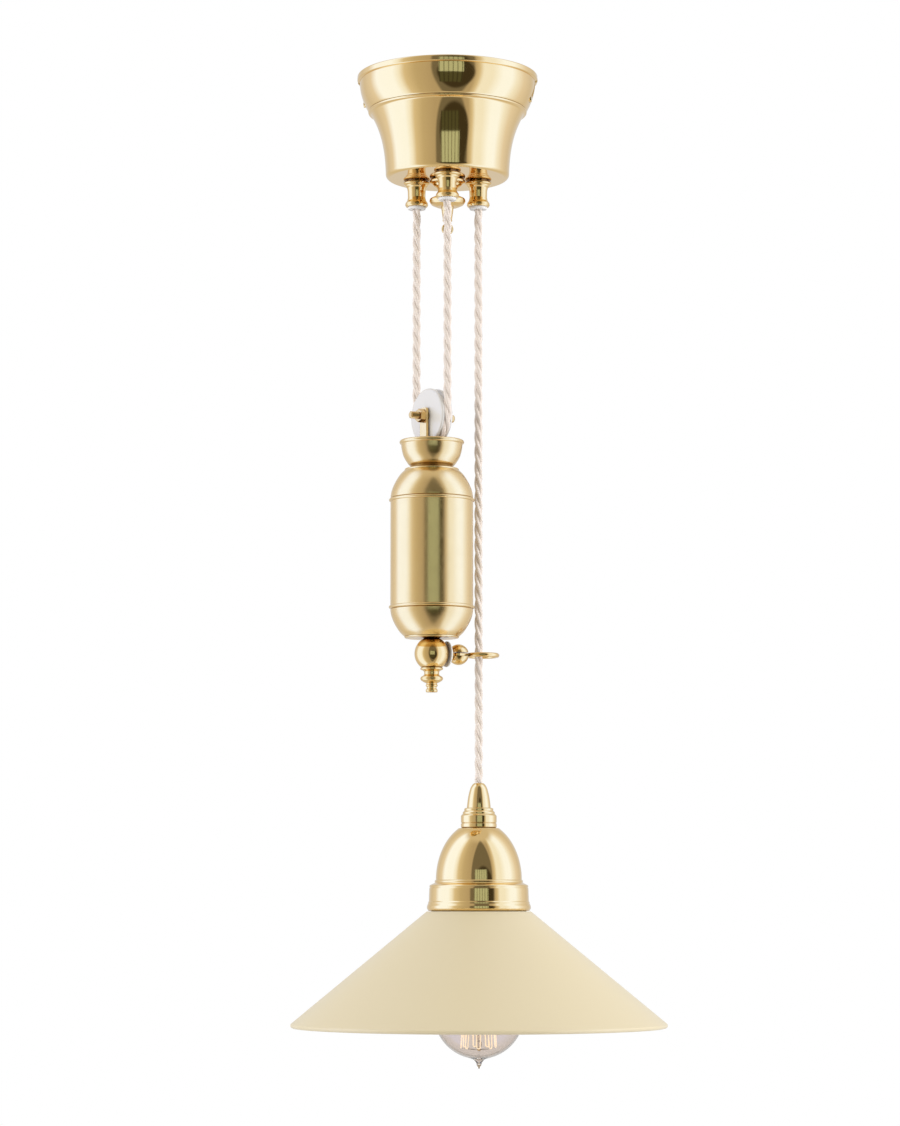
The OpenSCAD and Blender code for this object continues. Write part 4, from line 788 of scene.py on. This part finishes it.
# Lamp cover
lampAt = middle("holder_dome").xy
gripTop = high("cord_grip").z
collarTop = high("stepped_collar").z
domeTop, bandTop = high("holder_dome").z, low("holder_dome").z
domeHeight = domeTop - bandTop
gripHeight = gripTop - collarTop
holder = {"radius": 28.3, "curve": 1.09, "wall": 1.2, "topFlat": 13.7, "step": 0.35}
holderCurve = domeHeight * holder["curve"]
holderStart = math.acos(holder["topFlat"] / holder["radius"])
holderTop = holderCurve * math.sin(holderStart) + holder["step"]
collarHeight = collarTop - bandTop - holderTop  # the collar stands on the dome
gripSide = flowing([(3.6, -0.3), (4.6, -1.5), (5.6, -3.5), (6.8, -8), (7.5, -12.5), (7.9, -gripHeight)], 6)
gripOutline = [(2.8, -gripHeight), (2.8, -0.2), (3.1, 0)] + gripSide
collarOutline = [
    (5.1, -collarHeight), (5.1, 0), (8.9, 0, 0.3), (9.6, -0.5, 0.4), (9.6, -1.9, 0.3), (10.2, -2.3, 0.3),
    (10.6, -2.9, 0.4), (10.6, -3.9, 0.3), (11.2, -4.4, 0.3), (11.8, -5.1, 0.5), (11.8, -9.5, 0.3), (11.35, -9.75, 0.15),
    (11.35, -10.05, 0.15), (11.8, -10.3, 0.3), (11.8, -collarHeight + 0.8, 0.4), (11.2, -collarHeight)]


def holderDomeOutline():
    start, top = math.degrees(holderStart), holderTop
    side = oval(holder["radius"], holderCurve, start, 0, 0, 56)
    inner = oval(holder["radius"] - holder["wall"], holderCurve - holder["wall"], 0, start - 1, 0, 24)
    return [(5.1, top), (holder["topFlat"] - 0.6, top), (holder["topFlat"] - 0.2, top - 0.1)] + side + inner + [(5.1, top - 1.3)]


bandOutline = [
    (27.1, 0), (28.6, 0, 0.2), (29.2, -0.7, 0.5), (28.9, -1.5, 0.3), (29.3, -2, 0.4), (31.2, -2.9, 0.8), (32.2, -3.4, 0.3),
    (32.6, -4, 0.4), (32.3, -4.8, 0.3), (32.6, -5.6, 0.6), (32.9, -13.8, 0.6), (33.4, -14.7, 0.4), (33.4, -15.4, 0.4),
    (34.1, -17, 1), (34.2, -18.6, 0.8), (33.3, -20.2, 0.3), (31.7, -20.2), (31.7, -6), (28, -3), (27.1, -1.6)]
for name, outline, top, node in (
        ("cordGrip", gripOutline, gripTop, "cord_grip"),
        ("steppedCollar", rounded(collarOutline, True), collarTop, "stepped_collar"),
        ("holderDome", holderDomeOutline(), bandTop, "holder_dome"),
        ("galleryBand", rounded(bandOutline, True), bandTop, "gallery_band")):
    steps = 192 if name in ("holderDome", "galleryBand") else 112
    fitted(turned(name, outline, (lampAt.x, lampAt.y, top), True, steps), "polished_brass", "lamp", node)

# Shade
shade = {"rim": 123.5, "foot": 34.3, "seat": 4.2, "neck": 31.2, "hole": 20.3, "wall": 4.0, "nose": 1.6}
bandEnd = low("gallery_band").z
shadeTop = bandEnd - 0.3
shadeHeight = shadeTop - low("shade").z - 1.6


def shadeOutline():
    rim, foot, wall, nose = shade["rim"], shade["foot"], shade["wall"], shade["nose"]
    edgeZ = -shadeHeight
    end = (rim - 0.35, edgeZ + 2.1)
    slope = (end[0] - foot) / -end[1]
    drop = wall * math.sqrt(1 + slope ** 2) / slope
    shelf = shade["seat"] - wall
    outside = [(foot + (end[0] - foot) * i / 24, end[1] * i / 24) for i in range(25)]
    edge = arc((rim - nose, edgeZ + nose - 0.6), nose, 30, -100, 10)
    innerFoot = (shade["hole"] + 8, shelf, 2)
    innerStart = (foot + slope * (3 - drop), -3, 6)
    innerEnd = (rim - nose - 1.2, edgeZ - 0.5)
    inner = rounded([innerEnd, innerStart, innerFoot, (shade["hole"], shelf)])
    return ([(shade["hole"], shade["seat"]), (shade["neck"] - 0.5, shade["seat"]), (shade["neck"], shade["seat"] - 0.5),
             (shade["neck"], 0.3), (shade["neck"] + 0.3, 0)] + outside + edge + inner)


fitted(turned("glassShade", shadeOutline(), (lampAt.x, lampAt.y, shadeTop), True, 256), "opal_glass", "lamp", "shade")

# Bulb
bulb = {"globe": 30.0, "wall": 1.0, "neck": 12.7, "tangent": 0.6, "pip": 6.4, "bends": 16, "hooksAt": -21.8}
globeBox = middle("bulb_glass")
pipEnd = low("bulb_glass").z
globeZ = pipEnd + bulb["pip"] + bulb["globe"]
neckTop = high("bulb_glass").z - globeZ


def bulbOutline():
    radius, wall = bulb["globe"], bulb["wall"]
    height = radius * bulb["tangent"]
    start = Vector((bulb["neck"], neckTop))
    end = Vector((math.sqrt(radius ** 2 - height ** 2), height))
    pull, leave = Vector((1, -30)), Vector((22, -radius * 0.98))
    neck = []
    for i in range(25):
        t = i / 24
        neck.append(tuple(start * (2 * t ** 3 - 3 * t ** 2 + 1) + pull * (t ** 3 - 2 * t ** 2 + t)
                          + end * (3 * t ** 2 - 2 * t ** 3) + leave * (t ** 3 - t ** 2)))
    turnFrom = math.degrees(math.asin(bulb["tangent"]))
    globe = arc((0, 0), radius, turnFrom - 2, -78, 56)
    tipEnd = -radius - bulb["pip"]
    pip = flowing([globe[-1], (4, -radius - 0.1), (2.7, -radius - 1.2), (1.8, -radius - 2.5), (1.5, -radius - 3.8),
                   (0.6, tipEnd + 0.7), (0, tipEnd)], 5)
    inside = radius - wall
    innerGlobe = [(0, -radius - 2.2), (0.6, -radius - 1.6), (1.4, -radius - 0.2)] + arc((0, 0), inside, -84, turnFrom - 2, 40)
    innerNeck = [(r - wall, z) for r, z in reversed(neck)]
    return innerGlobe + innerNeck + neck + globe[:-1] + pip


glass = turned("bulbGlass", bulbOutline(), (lampAt.x, lampAt.y, globeZ), steps=128)
fitted(glass, "clear_glass", "lamp", "bulb_glass")


def cageWire():  # the filament hangs in long loops between two rings of hooks
    points = []
    bends = bulb["bends"]
    for i in range(bends + 1):
        angle = math.radians(i * 330 / bends)
        top = i % 2 == 0
        radius, height, out = (9, 18, 1) if top else (11.8, bulb["hooksAt"], -1)
        for side, lift in ((-1, 0), (-0.5, 0.8), (0.5, 0.8), (1, 0)):
            flat = Vector((radius * math.cos(angle), radius * math.sin(angle)))
            flat += Vector((-math.sin(angle), math.cos(angle))) * side * 1.1
            points.append((lampAt.x + flat.x, lampAt.y + flat.y, globeZ + height + out * lift))
    return points


def wireTube(name, lines, radius):  # thin round wire along each line of points
    curve = bpy.data.curves.new(name, "CURVE")
    curve.dimensions = "3D"
    curve.bevel_depth = radius * mm
    curve.bevel_resolution = 2
    curve.use_fill_caps = True
    for line in lines:
        spline = curve.splines.new("POLY")
        spline.points.add(len(line) - 1)
        for point, spot in zip(spline.points, line):
            point.co = (*(Vector(spot) * mm), 1)
    holder = bpy.data.objects.new(name, curve)
    scene.collection.objects.link(holder)
    depsgraph = bpy.context.evaluated_depsgraph_get()
    mesh = bpy.data.meshes.new_from_object(holder.evaluated_get(depsgraph))
    bpy.data.objects.remove(holder)
    piece = bpy.data.objects.new(name, mesh)
    scene.collection.objects.link(piece)
    mesh.shade_smooth()
    return piece


cage = cageWire()
filament = wireTube("filamentCage", [cage], 0.42)
fitted(filament, "filament_wire", "lamp", "filament")
hub = Vector((lampAt.x, lampAt.y, globeZ + bulb["hooksAt"] - 2.2))
press = Vector((lampAt.x, lampAt.y, globeZ + 23.5))
hooks = [[tuple(hub), tuple(hub + Vector((0, 0, -5.5)))]]
for i in range(bulb["bends"] + 1):
    tip = (Vector(cage[i * 4 + 1]) + Vector(cage[i * 4 + 2])) / 2
    root = press if i % 2 == 0 else hub
    hooks.append([tuple(root.lerp(tip, 0.05)), tuple(root.lerp(tip, 0.6) + Vector((0, 0, -0.4))), tuple(tip)])
leads = [[(lampAt.x + s * 1.2, lampAt.y, globeZ + 40), (lampAt.x + s * 1.4, lampAt.y, globeZ + 26),
          (lampAt.x + s * 8.4, lampAt.y + 1, globeZ + 18.6)] for s in (-1, 1)]
hubOutline = [(0, 0.6), (1.2, 0.6, 0.3), (1.6, 0, 0.3), (0.9, -0.6, 0.3), (0, -0.8)]
fitted(turned("stemHub", rounded(hubOutline), hub, steps=32), "turnedBrass", "lamp")
fitted(wireTube("filamentHooks", hooks + leads, 0.11), "steel", "lamp")
stemOutline = [(0, neckTop), (11.7, neckTop), (10.4, neckTop - 1.5, 1.5), (6.4, neckTop - 5, 3), (4.2, neckTop - 10, 4),
               (3.2, 31, 2), (3.2, 27, 0.8), (1.2, 25, 0.6), (1.1, -18, 0.3), (1.8, -19, 0.4), (1.8, -22, 0.5), (0, -23)]
fitted(turned("bulbStem", rounded(stemOutline), (lampAt.x, lampAt.y, globeZ), steps=64), "clear_glass", "lamp", "bulb_stem")
print("lamp made")

# The frame's own nodes that show as they are, with softened edges
record = frame["record"]
slotOfNode = {part["node"]: part["material_slot"] for part in record["subparts"]}
for name, node in frame["nodes"].items():
    if node.hide_render:
        continue
    node.data.materials.clear()
    node.data.materials.append(finishes[slotOfNode[name]])
    weld = node.modifiers.new("weld", "WELD")
    weld.merge_threshold = 0.000002
    soften = node.modifiers.new("soften", "BEVEL")
    soften.width = 0.0002
    soften.segments = 2
    soften.limit_method = "ANGLE"
    soften.angle_limit = math.radians(40)


# Surroundings
def studioWorld():  # a white backdrop, even light, and what polished metal sees of the studio
    world = bpy.data.worlds.new("studio")
    world.use_nodes = True
    tree = world.node_tree
    tree.nodes.clear()
    way = addNode(tree, "ShaderNodeTexCoord").outputs["Generated"]
    x, y, z = addNode(tree, "ShaderNodeSeparateXYZ", Vector=way).outputs
    bearing = maths(tree, "MULTIPLY", maths(tree, "ARCTAN2", x, maths(tree, "MULTIPLY", y, -1.0)), 180 / math.pi)
    height = maths(tree, "MULTIPLY", maths(tree, "ARCSINE", z), 180 / math.pi)
    ring = addNode(tree, "ShaderNodeValToRGB", Fac=remap(tree, bearing, -180, 180))
    pale, window = (0.72, 0.71, 0.70, 1), (1.13, 1.47, 2.65, 1)
    dim, bright = (0.86, 0.90, 1.08, 1), (1.03, 1.24, 1.88, 1)
    farWall, wall, nearWall = (0.78, 0.78, 0.80, 1), (0.60, 0.58, 0.54, 1), (0.51, 0.48, 0.45, 1)
    bands = [(-180, pale), (-140, pale), (-120, dim), (-106, window), (-76, window), (-66, bright), (-58, farWall),
             (-43, wall), (-22, nearWall), (22, nearWall), (36, nearWall), (43, farWall), (49, bright), (62, bright),
             (78, window), (94, window), (104, bright), (120, dim), (140, pale), (180, pale)]
    ramp = ring.color_ramp
    while len(ramp.elements) < len(bands):
        ramp.elements.new(0.5)
    for stop, (angle, colour) in zip(ramp.elements, bands):
        stop.position = (angle + 180) / 360
        stop.color = colour

    def within(value, centre, half, soft):  # 1 inside a band, falling to 0 over its soft edge
        away = maths(tree, "ABSOLUTE", maths(tree, "SUBTRACT", value, centre))
        return remap(tree, away, half, half + soft, 1.0, 0.0, True)

    def alike(a, b):
        return maths(tree, "MULTIPLY", a, b)

    def share(value, centre, half):
        return maths(tree, "POWER", maths(tree, "DIVIDE", maths(tree, "SUBTRACT", value, centre), half), 2.0)

    overhead = remap(tree, maths(tree, "ABSOLUTE", height), 56, 72, smooth=True)
    sky = blendColours(tree, overhead, ring.outputs[0], (0.70, 0.69, 0.70, 1))
    reach = maths(tree, "SQRT", maths(tree, "ADD", share(bearing, 7.5, 28.5), share(height, 4.0, 62.0)))
    room = blendColours(tree, remap(tree, reach, 0.92, 1.06, 1.0, 0.0, True), sky, (0.19, 0.185, 0.17, 1))
    spread = maths(tree, "SQRT", maths(tree, "ADD", share(bearing, 11.5, 26.0), share(height, -10.0, 31.0)))
    table = remap(tree, spread, 0.88, 1.06, 1.0, 0.0, True)
    room = blendColours(tree, table, room, (0.055, 0.048, 0.032, 1))
    stripes = maths(tree, "SINE", maths(tree, "MULTIPLY", bearing, 1.05))
    panes = blendColours(tree, remap(tree, stripes, 0.75, 0.95), (0.52, 0.65, 0.63, 1), (0.14, 0.17, 0.12, 1))
    hedge = blendColours(tree, remap(tree, stripes, 0.6, 0.9), (0.085, 0.095, 0.06, 1), (0.045, 0.045, 0.028, 1))
    lowGarden = alike(within(bearing, 4.5, 15.0, 1.5), within(height, -16.0, 12.0, 3.0))
    garden = alike(within(bearing, 5.0, 15.5, 1.5), within(height, 3.0, 11.0, 2.0))
    seen = blendColours(tree, garden, blendColours(tree, lowGarden, room, hedge), panes)

    light = addNode(tree, "ShaderNodeLightPath")
    studio = addNode(tree, "ShaderNodeBackground", Color=seen, Strength=1.0)
    even = addNode(tree, "ShaderNodeBackground", Color=(1.0, 0.985, 0.965, 1), Strength=0.66)
    bent = addNode(tree, "ShaderNodeBackground", Color=(0.40, 0.37, 0.35, 1), Strength=1.0)
    backdrop = addNode(tree, "ShaderNodeBackground", Color=(1, 1, 1, 1), Strength=1.0)
    reflected = addNode(tree, "ShaderNodeMixShader", Fac=light.outputs["Is Glossy Ray"], i1=even.outputs[0],
                        i2=studio.outputs[0])
    ahead = maths(tree, "GREATER_THAN", y, 0.93)  # glass shows the backdrop ahead, and a dim room where it bends light far
    through = alike(light.outputs["Is Transmission Ray"], ahead)
    direct = maths(tree, "MAXIMUM", light.outputs["Is Camera Ray"], through)
    passed = addNode(tree, "ShaderNodeMixShader", Fac=light.outputs["Is Transmission Ray"], i1=reflected.outputs[0],
                     i2=bent.outputs[0])
    shown = addNode(tree, "ShaderNodeMixShader", Fac=direct, i1=passed.outputs[0], i2=backdrop.outputs[0])
    output = addNode(tree, "ShaderNodeOutputWorld", Surface=shown.outputs[0])
    return world


scene.world = studioWorld()
lamps = {"left": ((-2.2, -0.5, -0.1), 1.6, 30.0), "right": ((2.2, -0.6, -0.1), 1.6, 38.0), "above": ((0.2, 0.6, 1.5), 1.2, 5.0)}
for name, (place, size, power) in lamps.items():
    lamp = bpy.data.lights.new(name, "AREA")
    lamp.size = size
    lamp.energy = power
    stand = bpy.data.objects.new(name, lamp)
    stand.location = place
    stand.rotation_euler = (Vector((0, 0, -0.4)) - Vector(place)).to_track_quat("-Z", "Y").to_euler()
    stand.visible_glossy = False
    scene.collection.objects.link(stand)

floorShape = bmesh.new()
bmesh.ops.create_grid(floorShape, x_segments=1, y_segments=1, size=15)
bmesh.ops.translate(floorShape, vec=(0, 0, -3.2), verts=floorShape.verts)
floor = finished("floor", floorShape)
paleFloor, floorShader, floorTree = newFinish("paleFloor", {"Roughness": 0.9, "Specular IOR Level": 0.0})
seenFloor = addNode(floorTree, "ShaderNodeLightPath").outputs["Is Camera Ray"]  # white to the camera, but keeps its shadow
floorTree.links.new(maths(floorTree, "MULTIPLY", seenFloor, 0.36), floorShader.inputs["Emission Strength"])
floorShader.inputs["Emission Color"].default_value = (1, 1, 1, 1)
floorTree.links.new(blendColours(floorTree, noiseOver(floorTree, 3, 2), (0.93, 0.93, 0.92, 1), (0.90, 0.90, 0.89, 1)),
                    floorShader.inputs["Base Color"])
floor.data.materials.append(paleFloor)
floor.visible_glossy = False
scene.view_settings.view_transform = "Standard"

print("scene ready")
